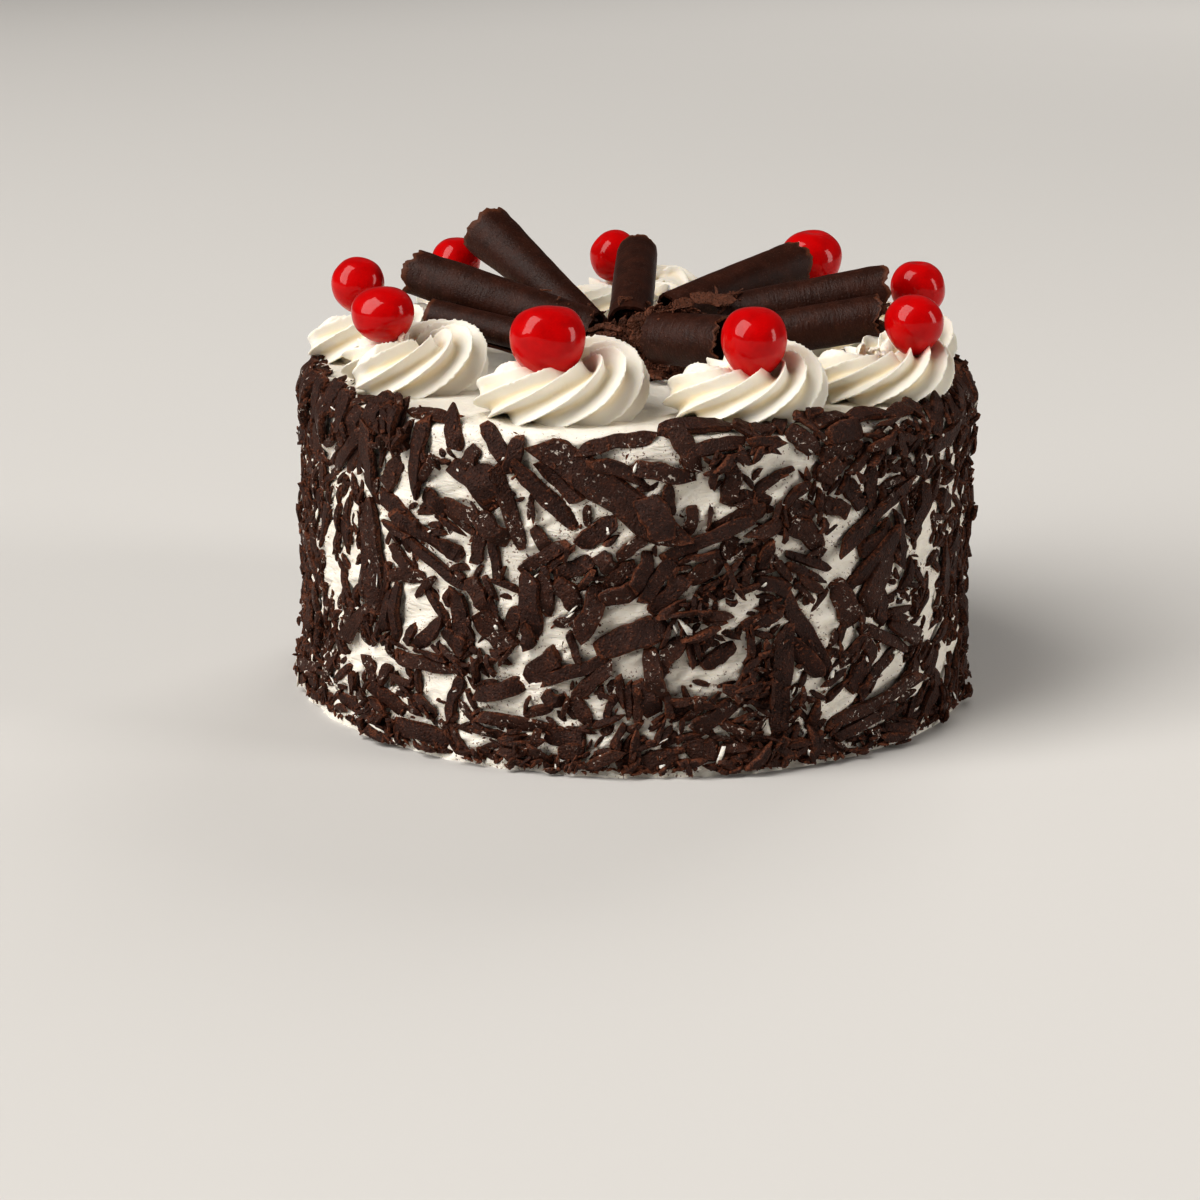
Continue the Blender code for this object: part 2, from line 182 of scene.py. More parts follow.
class SwirlSettings(bpy.types.PropertyGroup):
    laps: FloatProperty(
        name="Laps", description="Turns of the bag round each swirl, beside the usual", default=1.0)
    twist: FloatProperty(
        name="Twist", description="Turns of the rope about itself in one lap", default=1.5)
    ridges: IntProperty(
        name="Ridges", description="Points of the star nozzle", default=7, min=3)
    groove: FloatProperty(
        name="Groove depth", description="Depth of the grooves, in parts of the rope's radius", default=0.47)
    rope: FloatProperty(
        name="Rope thickness", description="Thickness of the rope, beside the usual", default=1.0)
    cream: FloatVectorProperty(
        name="Swirl colour", description="Colour of the piped cream",
        default=(0.825, 0.788, 0.703), subtype="COLOR")
    # groove colour: partly a buttery tint, partly painted shade in the hollows
    crease: FloatVectorProperty(
        name="Crease colour", description="Buttery colour deep in the grooves",
        default=(0.90, 0.64, 0.17), subtype="COLOR")


class CherrySettings(bpy.types.PropertyGroup):
    skin: FloatVectorProperty(
        name="Cherry colour", description="Colour of the glazed cherries", default=(0.50, 0.0, 0.0010),
        subtype="COLOR")
    dent: FloatProperty(
        name="Dents", description="How uneven a cherry is, in parts of its radius", default=0.055)


class CurlSettings(bpy.types.PropertyGroup):
    turns: FloatProperty(name="Turns", description="How often a curl's sheet winds round", default=1.42)
    wall: FloatProperty(
        name="Sheet thickness", description="Thickness of the chocolate sheet", default=1.15 * MM,
        subtype="DISTANCE", unit="LENGTH")
    ragged: FloatProperty(
        name="Ragged ends", description="How uneven the broken ends are", default=1.3 * MM,
        subtype="DISTANCE", unit="LENGTH")
    chocolate: FloatVectorProperty(
        name="Curl colour", description="Colour of the chocolate sheets", default=(0.0240, 0.0068, 0.0033),
        subtype="COLOR")


class ShavingsSettings(bpy.types.PropertyGroup):
    slivers: IntProperty(name="Slivers", description="Slivers on the middle heap", default=900, min=0)
    crumbs: IntProperty(name="Crumbs", description="Crumbs on the middle heap", default=1100, min=0)
    colour: FloatVectorProperty(
        name="Shavings colour", description="Colour of the loose shavings", default=(0.074, 0.0255, 0.0127),
        subtype="COLOR")


class StageSettings(bpy.types.PropertyGroup):
    lens: FloatProperty(name="Lens", description="Focal length of the camera", default=83.4)
    key: FloatProperty(
        name="Key light", description="Power of the tall soft light at the left",
        default=515.0, unit="POWER")
    strip: FloatProperty(
        name="Strip light", description="Power of the narrow light at the right",
        default=26.0, unit="POWER")
    fill: FloatProperty(
        name="Fill light", description="Power of the weak light behind", default=110.0, unit="POWER")
    world: FloatProperty(name="Room light", description="Strength of the light all round", default=0.08)
    floor: FloatVectorProperty(
        name="Floor colour", description="Colour of the plain floor",
        default=(0.62, 0.605, 0.585), subtype="COLOR")


# ---------------------------------------------------------------- node trees

class Socket:
    """A node's output that takes part in sums; each sum adds a Math node."""

    def __init__(self, sheet, output):
        self.sheet, self.output = sheet, output

    def maths(self, operation, *values):
        inputs = dict(enumerate(values))
        return self.sheet.add("ShaderNodeMath", {"operation": operation}, inputs)[0]

    def __add__(self, other):
        return self.maths("ADD", self, other)

    def __radd__(self, other):
        return self.maths("ADD", other, self)

    def __sub__(self, other):
        return self.maths("SUBTRACT", self, other)

    def __rsub__(self, other):
        return self.maths("SUBTRACT", other, self)

    def __mul__(self, other):
        return self.maths("MULTIPLY", self, other)

    def __rmul__(self, other):
        return self.maths("MULTIPLY", other, self)

    def __pow__(self, other):
        return self.maths("POWER", self, other)

    def sine(self):
        return self.maths("SINE", self)

    def cosine(self):
        return self.maths("COSINE", self)

    def size(self):
        return self.maths("ABSOLUTE", self)

    def step(self, low, high):
        """From 0 at low to 1 at high, smoothly."""
        settings = {"interpolation_type": "SMOOTHSTEP"}
        return self.sheet.add("ShaderNodeMapRange", settings, {0: self, 1: low, 2: high})[0]


class Outputs:
    """The outputs of a new node, by name or number."""

    def __init__(self, sheet, node):
        self.sheet, self.node = sheet, node

    def __getitem__(self, key):
        return Socket(self.sheet, self.node.outputs[key])


class Sheet:
    """A node tree, with one way to add a node."""

    def __init__(self, tree):
        self.tree = tree

    def add(self, kind, settings=None, inputs=None):
        node = self.tree.nodes.new(kind)
        for name, value in (settings or {}).items():
            setattr(node, name, value)
        for key, value in (inputs or {}).items():
            if isinstance(value, Socket):
                self.tree.links.new(value.output, node.inputs[key])
            else:
                node.inputs[key].default_value = value
        return Outputs(self, node)

    def mix(self, share, first, second):
        """A colour between the first and the second."""
        inputs = {0: share, 6: opaque(first), 7: opaque(second)}
        return self.add("ShaderNodeMix", {"data_type": "RGBA"}, inputs)[2]

    def attribute(self, name):
        return self.add("ShaderNodeAttribute", {"attribute_name": name})["Fac"]


class Finish(Sheet):
    """A material's node tree, with the patterns that food needs."""

    def __init__(self, name):
        self.material = bpy.data.materials.new(name)
        self.material.use_nodes = True
        super().__init__(self.material.node_tree)
        self.tree.nodes.clear()
        self.place = self.add("ShaderNodeTexCoord")["Object"]

    def noise(self, size, detail=2.0, rough=0.5, warp=0.0, place=None):
        """Cloudy noise, from 0 to 1, with lumps of that size."""
        inputs = {"Vector": place or self.place, "Scale": 1 / size, "Detail": detail, "Roughness": rough,
                  "Distortion": warp}
        return self.add("ShaderNodeTexNoise", None, inputs)["Fac"]

    def drawn_out(self, place, scale, turn=(0.0, 0.0, 0.0)):
        """The place with its axes scaled and turned, for a pattern that runs one way."""
        return self.add("ShaderNodeMapping", None, {"Vector": place, "Rotation": turn, "Scale": scale})[0]

    def cells(self, size):
        """Distance to the nearest of a cloud of points that are a size apart."""
        return self.add("ShaderNodeTexVoronoi", None, {"Vector": self.place, "Scale": 1 / size})["Distance"]

    def bump(self, height, depth, strength=1.0):
        inputs = {"Height": height, "Distance": depth, "Strength": strength}
        return self.add("ShaderNodeBump", None, inputs)["Normal"]

    def surface(self, **values):
        """Ends the tree in one Principled shader; the names have _ for a space."""
        inputs = {name.replace("_", " "): value for name, value in values.items()}
        inputs["Specular IOR Level"] = inputs.pop("Specular", 0.5)
        shader = self.add("ShaderNodeBsdfPrincipled", None, inputs)[0]
        self.add("ShaderNodeOutputMaterial", None, {"Surface": shader})
        return self.material


def opaque(colour):
    """A colour with its alpha; a socket is left as it is."""
    return colour if isinstance(colour, Socket) else (*colour[:3], 1.0)


def cream_finish(colour):
    """The side's cream: off-white, dusted with cocoa and darkened as painted shade close to the flakes."""
    sheet = Finish("cream_coat")
    dust = sheet.attribute("dust")
    patchy = sheet.noise(7 * MM, 2, 0.5).step(0.38, 0.66) * 0.07
    specks = (sheet.noise(0.9 * MM, 2, 0.6) + dust * 0.07 + patchy).step(0.68, 0.72) * dust.step(0.02, 0.25)
    # the brown stain close to the flakes is partly cocoa dust and partly painted shade
    stain_and_shade = sheet.noise(6 * MM, 4, 0.6, 0.4).step(0.40, 0.75) * dust
    tone = sheet.mix(sheet.noise(14 * MM, 3).step(0.35, 0.7) * 0.35, colour, [c * 0.93 for c in colour])
    tone = sheet.mix(stain_and_shade * 0.28, tone, (0.46, 0.31, 0.22))
    tone = sheet.mix(specks * 0.85, tone, (0.12, 0.045, 0.025))
    spread = sheet.drawn_out(sheet.place, (1.0, 1.0, 3.6), (0.5, 0.6, 0.3))
    strokes = sheet.noise(8 * MM, 3, 0.55, 0.5, spread)
    ripple = sheet.noise(2.4 * MM, 4, 0.55) * 0.5 + sheet.noise(0.7 * MM, 2) * 0.2 + strokes * 2.2
    return sheet.surface(
        Base_Color=tone, Roughness=0.46, Specular=0.42, Subsurface_Weight=0.18,
        Subsurface_Radius=(1.0, 0.72, 0.45), Subsurface_Scale=1.4 * MM,
        Normal=sheet.bump(ripple, 0.55 * MM, 0.85))


def swirl_finish(colour, crease):
    """Piped cream: smooth, yellower and darker in the grooves, partly a buttery tint and partly painted
    shade; pink where a cherry touches it.
    """
    sheet = Finish("piped_cream")
    deep = sheet.attribute("crease")
    # grooves: a buttery tint and painted shade, by how hollow the cream is
    tone = sheet.mix(deep, colour, crease)
    tone = sheet.mix(sheet.attribute("blush"), tone, (0.86, 0.40, 0.33))
    tone = sheet.mix(sheet.noise(5 * MM, 3).step(0.4, 0.75) * 0.10, tone, (0.86, 0.78, 0.62))
    grain = sheet.noise(1.3 * MM, 3, 0.5) + sheet.noise(0.35 * MM, 1) * 0.3
    return sheet.surface(
        Base_Color=tone, Roughness=0.42, Specular=0.4, Subsurface_Weight=0.20,
        Subsurface_Radius=(1.0, 0.78, 0.42), Subsurface_Scale=1.8 * MM,
        Normal=sheet.bump(grain, 0.10 * MM, 0.6))


def flake_finish(name, face, edge, pits=0.5):
    """Dull chocolate flakes: pitted, with painted shade in the pits, rusty broken edges, pale specks and
    smears of cream.
    """
    sheet = Finish(name)
    tint, broken = sheet.attribute("tint"), sheet.attribute("edge")
    grain = sheet.noise(0.8 * MM, 3, 0.7)
    blotch = sheet.noise(3.2 * MM, 3, 0.6)
    tone = sheet.mix(blotch.step(0.35, 0.7) * 0.7, face, [c * 1.9 for c in face])
    rim = (broken * 0.62 + grain * 1.5 + blotch * 0.8).step(1.34, 1.95)
    tone = sheet.mix(rim, tone, edge)
    tone = sheet.mix(tint.step(0.2, 0.9) * 0.30, tone, [c * 0.38 for c in edge])
    tone = sheet.mix(grain.step(0.57, 0.68) * 0.50, tone, edge)
    pale = sheet.noise(0.6 * MM, 1, 0.5).step(0.71, 0.76) * blotch.step(0.40, 0.60)
    tone = sheet.mix(pale * 0.55, tone, (0.30, 0.22, 0.18))
    where = sheet.noise(9 * MM, 2, 0.5).step(0.42, 0.62) * tint.step(0.45, 0.60)
    smear = sheet.noise(1.7 * MM, 4, 0.65, 0.6).step(0.60, 0.65) * where
    tone = sheet.mix(smear * 0.9, tone, (0.70, 0.64, 0.57))
    holes = sheet.cells(0.9 * MM).step(0.05, 0.5)
    # the pits are painted darker too: painted shade in the hollows
    tone = sheet.mix((1 - holes) * 0.6, tone, [c * 0.4 for c in face])
    height = holes * pits + grain * 1.1 + blotch * 2.0
    return sheet.surface(
        Base_Color=tone, Roughness=0.46 + grain * 0.22, Specular=0.24,
        Normal=sheet.bump(height, 0.42 * MM))


def curl_finish(colour):
    """Satin chocolate sheets: finely rippled round the roll, speckled with pale specks that are partly bloom
    and partly painted glints, browner at the broken ends.
    """
    sheet = Finish("chocolate_curl")
    broken = sheet.attribute("edge")
    flat = sheet.add("ShaderNodeAttribute", {"attribute_name": "sheet"})["Vector"]
    ripple = sheet.noise(1.1 * MM, 2, 0.6, place=sheet.drawn_out(flat, (1.0, 0.22, 1.0)))
    fine = sheet.noise(0.55 * MM, 2, 0.7)
    cloud = sheet.noise(6 * MM, 4, 0.6, 0.3)
    tone = sheet.mix(cloud.step(0.35, 0.70) * 0.8, colour, [c * 1.9 for c in colour])
    tone = sheet.mix((broken + fine * 0.7).step(0.65, 1.35) * 0.8, tone, (0.110, 0.036, 0.016))
    # pale specks: partly bloom, partly painted glints of light
    tone = sheet.mix(fine.step(0.60, 0.70) * 0.45, tone, (0.150, 0.075, 0.052))
    return sheet.surface(
        Base_Color=tone, Roughness=0.30 + cloud * 0.14 + fine * 0.12, Specular=0.19,
        Normal=sheet.bump(fine * 0.8 + ripple, 0.26 * MM))


def cherry_finish(skin):
    """Glazed cherries: clear red skin over slightly mottled flesh."""
    sheet = Finish("glazed_cherry")
    flesh = sheet.noise(4.5 * MM, 3, 0.5).step(0.35, 0.75)
    tone = sheet.mix(flesh * 0.5, skin, [skin[0] * 0.62, skin[1], skin[2]])
    dimple = sheet.noise(3.0 * MM, 2, 0.5)
    return sheet.surface(
        Base_Color=tone, Roughness=0.40, Specular=0.04,
        Coat_Weight=0.75, Coat_Roughness=0.04, Coat_IOR=1.36,
        Subsurface_Weight=0.05, Subsurface_Radius=(1.0, 0.08, 0.05), Subsurface_Scale=1.5 * MM,
        Normal=sheet.bump(dimple, 0.35 * MM, 0.5))


def floor_finish(colour):
    sheet = Finish("studio_floor")
    tone = sheet.mix(sheet.noise(0.4, 2) * 0.12, colour, [c * 0.94 for c in colour])
    return sheet.surface(Base_Color=tone, Roughness=0.75, Specular=0.2)


# ---------------------------------------------------------------- meshes

def grain(points, size, seed):
    """Smooth random values from -1 to 1 over points, in lumps of that size."""
    places = np.asarray(points, float) / size
    corner = np.floor(places).astype(np.int64)
    blend = places - corner
    blend = blend * blend * (3 - 2 * blend)
    total = np.zeros(len(places))
    for step in np.ndindex(2, 2, 2):
        cell = ((corner + step) * (73856093, 19349663, 83492791)).sum(1) + seed * 374761393
        cell = (cell ^ (cell >> 13)) * 1274126177
        value = ((cell ^ (cell >> 16)) & 0xFFFFFF) / 0x7FFFFF - 1
        total += value * np.where(step, blend, 1 - blend).prod(1)
    return total


def smooth(low, high, value):
    part = np.clip((value - low) / (high - low), 0, 1)
    return part * part * (3 - 2 * part)


def grid_faces(rows, columns, closed=True, start=0):
    """Quads between rows of points; closed joins each row's last column to its first."""
    row = np.arange(rows - 1)[:, None] * columns
    column = np.arange(columns if closed else columns - 1)[None]
    after = (column + 1) % columns
    quads = np.stack([row + column, row + after, row + columns + after, row + columns + column], -1)
    return (quads.reshape(-1, 4) + start).tolist()


def cap_faces(rows, columns, foot, top):
    """Triangles that close a grid: its first row to the foot's point, its last row to the top's."""
    last = (rows - 1) * columns
    faces = []
    for k in range(columns):
        after = (k + 1) % columns
        faces.append([after, k, foot])
        faces.append([last + k, last + after, top])
    return faces


def unit(vector):
    return vector / np.linalg.norm(vector)


def level_and_up(axis):
    """A level direction across an axis, and the one that stands up from both."""
    side = unit(np.cross(axis, (0, 0, 1)))
    return side, np.cross(side, axis)


def corners(node):
    """The low and the high corner of a solid's box."""
    return [np.array(corner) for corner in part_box(node)]


def new_object(name, points, faces):
    mesh = bpy.data.meshes.new(name)
    mesh.from_pydata(np.asarray(points).tolist(), [], faces)
    mesh.update()
    thing = bpy.data.objects.new(name, mesh)
    bpy.context.scene.collection.objects.link(thing)
    return thing


def set_attribute(mesh, name, values, kind="FLOAT"):
    layer = mesh.attributes.new(name, kind, "POINT")
    field = "vector" if kind == "FLOAT_VECTOR" else "value"
    layer.data.foreach_set(field, np.ascontiguousarray(values).ravel())


def coordinates(mesh, what="vertices"):
    field = "co" if what == "vertices" else "vector"
    items = mesh.vertices if what == "vertices" else mesh.vertex_normals
    values = np.empty(len(mesh.vertices) * 3)
    items.foreach_get(field, values)
    return values.reshape(-1, 3)


def set_coordinates(mesh, points):
    mesh.vertices.foreach_set("co", np.ascontiguousarray(points, np.float32).ravel())
    mesh.update()


def fix_outward(mesh):
    """Turns every face of a closed mesh outward."""
    edit = bmesh.new()
    edit.from_mesh(mesh)
    bmesh.ops.recalc_face_normals(edit, faces=edit.faces)
    edit.to_mesh(mesh)
    edit.free()


def shade(mesh, angle=None):
    """Smooth shading, but for edges sharper than the angle in degrees."""
    mesh.shade_smooth()
    if angle is not None:
        mesh.set_sharp_from_angle(angle=math.radians(angle))


def make_plain(thing):
    """Swaps the object's mesh for what its modifiers make of it, and takes them off."""
    graph = bpy.context.evaluated_depsgraph_get()
    result = bpy.data.meshes.new_from_object(
        thing.evaluated_get(graph), preserve_all_data_layers=True, depsgraph=graph)
    before = thing.data
    thing.modifiers.clear()
    thing.data = result
    result.name = thing.name
    bpy.data.meshes.remove(before)


def finish_piece(piece, slot, material, *nodes):
    piece.data.materials.clear()
    piece.data.materials.append(material)
    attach(piece, "root")
    if nodes:
        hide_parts(*nodes)


def around(azimuth, radius, height):
    """A point by its azimuth in radians: 0 at the front, a quarter turn at the right."""
    return np.stack([radius * np.sin(azimuth), -radius * np.cos(azimuth), height], -1)


# ---------------------------------------------------------------- geometry node trees

def new_tree(name, inputs):
    """A Geometry Nodes tree with named inputs; gives its sheet and its input sockets."""
    tree = bpy.data.node_groups.new(name, "GeometryNodeTree")
    tree.interface.new_socket("Geometry", in_out="INPUT", socket_type="NodeSocketGeometry")
    tree.interface.new_socket("Geometry", in_out="OUTPUT", socket_type="NodeSocketGeometry")
    for label, kind in inputs:
        tree.interface.new_socket(label, in_out="INPUT", socket_type="NodeSocket" + kind)
    sheet = Sheet(tree)
    return sheet, sheet.add("NodeGroupInput")


def run_tree(thing, sheet, values):
    """Puts the tree on the object with these values, and makes its result a plain mesh."""
    modifier = thing.modifiers.new("shape", "NODES")
    modifier.node_group = sheet.tree
    for item in sheet.tree.interface.items_tree:
        if item.in_out == "INPUT" and item.name in values:
            modifier[item.identifier] = values[item.name]
    make_plain(thing)


def end_tree(sheet, shape, finish):
    whole = sheet.add("GeometryNodeRealizeInstances", None, {0: shape})[0]
    painted = sheet.add("GeometryNodeSetMaterial", None, {"Geometry": whole, "Material": finish})[0]
    sheet.add("NodeGroupOutput", None, {0: painted})


def scatter_tree():
    """Puts one of a collection's shapes on each point, turned and sized by the point's attributes."""
    sheet, given = new_tree("scatter_pieces", (("Shapes", "Collection"), ("Finish", "Material")))
    shapes = sheet.add("GeometryNodeCollectionInfo", None, {
        "Collection": given["Shapes"], "Separate Children": True, "Reset Children": True})[0]

    def named(name, kind):
        return sheet.add("GeometryNodeInputNamedAttribute", {"data_type": kind}, {"Name": name})[0]

    turn = sheet.add("FunctionNodeEulerToRotation", None, {0: named("turn", "FLOAT_VECTOR")})[0]
    placed = sheet.add("GeometryNodeInstanceOnPoints", None, {
        "Points": given["Geometry"], "Instance": shapes, "Pick Instance": True,
        "Instance Index": named("pick", "INT"), "Rotation": turn, "Scale": named("size", "FLOAT_VECTOR")})[0]
    end_tree(sheet, placed, given["Finish"])
    return sheet


def swirl_tree():
    """Piped cream: a rope that winds up a tightening spiral, with star ridges that turn as it goes."""
    sheet, given = new_tree("piped_swirl", (
        ("Width", "Float"), ("Rope", "Float"), ("Laps", "Float"), ("Twist", "Float"), ("Ridges", "Int"),
        ("Groove", "Float"), ("Start", "Float"), ("Rise", "Float"), ("Finish", "Material")))
    part = sheet.add("GeometryNodeSplineParameter")["Factor"]

    def keep(shape, name, value):
        inputs = {"Geometry": shape, "Name": name, "Value": value}
        return sheet.add("GeometryNodeStoreNamedAttribute", {"data_type": "FLOAT"}, inputs)[0]

    def kept(name):
        return sheet.add("GeometryNodeInputNamedAttribute", {"data_type": "FLOAT"}, {"Name": name})[0]

    line = sheet.add("GeometryNodeCurvePrimitiveLine")[0]
    line = sheet.add("GeometryNodeResampleCurve", None, {"Curve": line, "Count": 320})[0]
    angle = given["Start"] + part * given["Laps"] * math.tau
    rope = given["Width"] * given["Rope"]
    late = part.step(0.70, 1.0)
    reach = (given["Width"] * 0.5 - rope) * (1 - late * 0.92)
    spot = sheet.add("ShaderNodeCombineXYZ", None, {
        0: reach * angle.cosine(), 1: reach * angle.sine(), 2: given["Rise"] * late + rope * 0.72})[0]
    line = sheet.add("GeometryNodeSetPosition", None, {"Geometry": line, "Position": spot})[0]
    line = keep(line, "along", part)
    width = part.step(-0.06, 0.07) * (1 - late * 0.48) * rope
    line = sheet.add("GeometryNodeSetCurveNormal", {"mode": "Z_UP"}, {"Curve": line})[0]
    ring = sheet.add("GeometryNodeCurvePrimitiveCircle", None, {"Resolution": 200, "Radius": 1.0})[0]
    ring = keep(ring, "round", part)
    body = sheet.add("GeometryNodeCurveToMesh", None, {
        "Curve": line, "Profile Curve": ring, "Scale": width, "Fill Caps": True})[0]
    turned = kept("along") * given["Laps"] * given["Twist"]
    phase = (kept("round") + turned) * given["Ridges"] * math.pi
    skewed = phase + (phase * 2).sine() * 0.20
    slim = kept("along").step(-0.03, 0.12) * (1 - kept("along").step(0.70, 1.0) * 0.48)
    deep = skewed.sine().size() ** 1.2 * given["Groove"] * rope * slim
    normal = sheet.add("GeometryNodeInputNormal")[0]
    push = sheet.add("ShaderNodeVectorMath", {"operation": "SCALE"}, {0: normal, "Scale": 0 - deep})[0]
    body = sheet.add("GeometryNodeSetPosition", None, {"Geometry": body, "Offset": push})[0]
    end_tree(sheet, body, given["Finish"])
    return sheet


# ---------------------------------------------------------------- flakes on the coat

CELL = 0.5 * MM
EDGE = 4.5 * MM                     # rounding of the cream's upper edge
TAPER = 0.7 * MM                    # how much the cream narrows from its foot to the edge
SIDE_HEIGHT = CAKE_TOP - EDGE
OVER_EDGE = SIDE_HEIGHT + EDGE * math.pi / 2
REACH = OVER_EDGE + 9 * MM          # how far up and over the flakes go
PILE = 3.2 * MM                     # how high flakes may lie on each other
TIP_ALONG, TIP_ACROSS = 0.22, 0.25  # how far a flake may tip on what lies under it
FOOT_GAP = 0.6 * MM                 # from the lowest flakes to the floor
SPARE_PLANKS = 105                  # spots tried for long flakes; those on the front are left out
SHAPES = {"planks": 20, "flakes": 24, "chips": 12, "crumbs": 8, "dabs": 8, "slivers": 14, "shards": 4}


def coat_profile(settings, travel):
    """Radius, height and outward normal of the cream at distances up the side and over the edge."""
    flare = 2.1 * MM * np.exp(-travel / (9 * MM))
    side = settings.cream_radius + flare - TAPER * travel / SIDE_HEIGHT
    top_side = settings.cream_radius - TAPER
    turn = np.clip((travel - SIDE_HEIGHT) / EDGE, 0, math.pi / 2)
    inward = np.maximum(travel - OVER_EDGE, 0)
    on_side = travel <= SIDE_HEIGHT
    radius = np.where(on_side, side, top_side - EDGE + EDGE * np.cos(turn) - inward)
    height = np.where(on_side, travel, SIDE_HEIGHT + EDGE * np.sin(turn))
    return radius, height, np.cos(turn), np.sin(turn)


class Coat:
    """The cream's side unrolled into cells, with the flakes' height on each and where they cover it."""

    def __init__(self, settings):
        self.radius = settings.cream_radius
        self.columns = int(round(math.tau * self.radius / CELL))
        self.rows = int(REACH / CELL)
        self.height, self.covered, self.guarded = np.zeros((3, self.rows, self.columns))
        self.profile = np.stack(coat_profile(settings, (np.arange(self.rows) + 0.5) * CELL))
        self.wanted = self.wish()

    def wish(self):
        """How much of the cream the flakes should hide, from 0 to 1, at each cell."""
        travel = (np.arange(self.rows) + 0.5)[:, None] * CELL
        azimuth = (np.arange(self.columns) + 0.5)[None] / self.columns * 360
        azimuth = (azimuth + 180) % 360 - 180
        travel, azimuth = np.broadcast_arrays(travel, azimuth)
        points = around(np.radians(azimuth.ravel()), self.radius, travel.ravel())
        wanted = 0.765 + 0.28 * grain(points, 13 * MM, 5).reshape(travel.shape)
        wanted += 0.25 * smooth(13 * MM, 4 * MM, travel)
        gaps = (grain(points, 11 * MM, 9) + 0.5 * grain(points, 22 * MM, 13)).reshape(travel.shape)
        wanted -= 0.95 * smooth(0.22, 0.75, gaps) * smooth(86, 110, np.abs(azimuth))
        # thinner at both sides of the front, denser right of its middle
        wanted -= 0.30 * smooth(-44, -56, azimuth) * smooth(-100, -86, azimuth)
        wanted -= 0.22 * smooth(46, 58, azimuth) * smooth(100, 88, azimuth)
        wanted += 0.08 * smooth(3, 10, azimuth) * smooth(36, 26, azimuth)
        rim = smooth(84 * MM, 93 * MM, travel)
        bare_front = smooth(-32, -26, azimuth) * smooth(6, 0, azimuth)
        wanted += rim * (0.30 - 0.55 * bare_front)
        wanted -= 0.75 * smooth(OVER_EDGE + 1 * MM, REACH, travel)
        for place, height, slope, length, width in BARE_PATCHES:
            beside = ((azimuth - place + 180) % 360 - 180) / 360 * self.columns * CELL
            above = travel - height * MM
            cos, sin = math.cos(math.radians(slope)), math.sin(math.radians(slope))
            far = np.hypot((beside * cos + above * sin) / (length * MM / 2),
                           (above * cos - beside * sin) / (width * MM / 2))
            wanted -= 1.4 * smooth(1.55, 0.85, far)
        return wanted

    def window(self, column, row, slope, length, width):
        """The cells under a flake, and their places along and across it."""
        cos, sin = math.cos(slope), math.sin(slope)
        wide = int((abs(cos) * length + abs(sin) * width) / 2 / CELL) + 1
        tall = int((abs(sin) * length + abs(cos) * width) / 2 / CELL) + 1
        rows = np.arange(max(0, int(row) - tall), min(self.rows, int(row) + tall + 1))
        columns = np.arange(int(column) - wide, int(column) + wide + 1)
        beside = (columns[None] + 0.5 - column) * CELL
        above = (rows[:, None] + 0.5 - row) * CELL
        along, across = beside * cos + above * sin, above * cos - beside * sin
        inside = np.abs(along / (length / 2)) ** 2.6 + np.abs(across / (width / 2)) ** 2.2 < 1
        index = np.ix_(rows, columns % self.columns)
        return index, inside, along, across, beside

    def lay(self, azimuth, travel, slope, length, width, thick, kick=(0, 0), sink=0.35 * MM, guard=0.0,
            lean=1.0, loose=False):
        """Rests a flake on what lies there, and gives its middle and axes; a loose one carries nothing."""
        column = azimuth / math.tau * self.columns
        row = min(max(travel / CELL, 0.5), self.rows - 1.0)
        index, inside, along, across, beside = self.window(column, row, slope, length, width)
        radius, height, out, up = (np.interp(row, np.arange(self.rows) + 0.5, line) for line in self.profile)
        tilt = math.atan2(up, out) * lean
        out, up = math.cos(tilt), math.sin(tilt)
        rows = index[0][:, 0]
        drop = (self.profile[0][rows] - radius) * out + (self.profile[1][rows] - height) * up
        drop = drop[:, None] - beside ** 2 * (out / (2 * self.radius))
        ground = self.height[index] + drop
        if inside.any():
            under, a, b = ground[inside], along[inside], across[inside]
            middle = under.mean()
            rise_a = (under * a).sum() / max((a * a).sum(), 1e-12)
            rise_b = (under * b).sum() / max((b * b).sum(), 1e-12)
            rise_a = np.clip(rise_a, -TIP_ALONG, TIP_ALONG) + kick[0]
            rise_b = np.clip(rise_b, -TIP_ACROSS, TIP_ACROSS) + kick[1]
            rest = under - rise_a * a - rise_b * b
            level = np.percentile(rest, 72 if guard < 0.5 else 60)
            level = min(level - sink * (1.0 if middle < 0.6 * MM else 0.4), PILE)
            plane = level + rise_a * along + rise_b * across
            top = plane + thick - drop
            now = self.height[index]
            if not loose:
                self.height[index] = np.where(inside, np.maximum(now, top), now)
                self.covered[index] = np.maximum(self.covered[index], inside)
            self.guarded[index] = np.maximum(self.guarded[index], inside * guard)
        else:
            level, rise_a, rise_b = 0.0, kick[0], kick[1]
        sine, cosine = math.sin(azimuth), math.cos(azimuth)
        outward = np.array([out * sine, -out * cosine, up])
        upward = np.array([-up * sine, up * cosine, out])
        sideways = np.array([cosine, sine, 0.0])
        cos, sin = math.cos(slope), math.sin(slope)
        first = sideways * cos + upward * sin
        second = upward * cos - sideways * sin
        normal = unit(outward - rise_a * first - rise_b * second)
        first = unit(first - normal * (first @ normal))
        middle = np.array([radius * sine, -radius * cosine, height]) + outward * level
        return middle, np.stack([first, np.cross(normal, first), normal], 1)

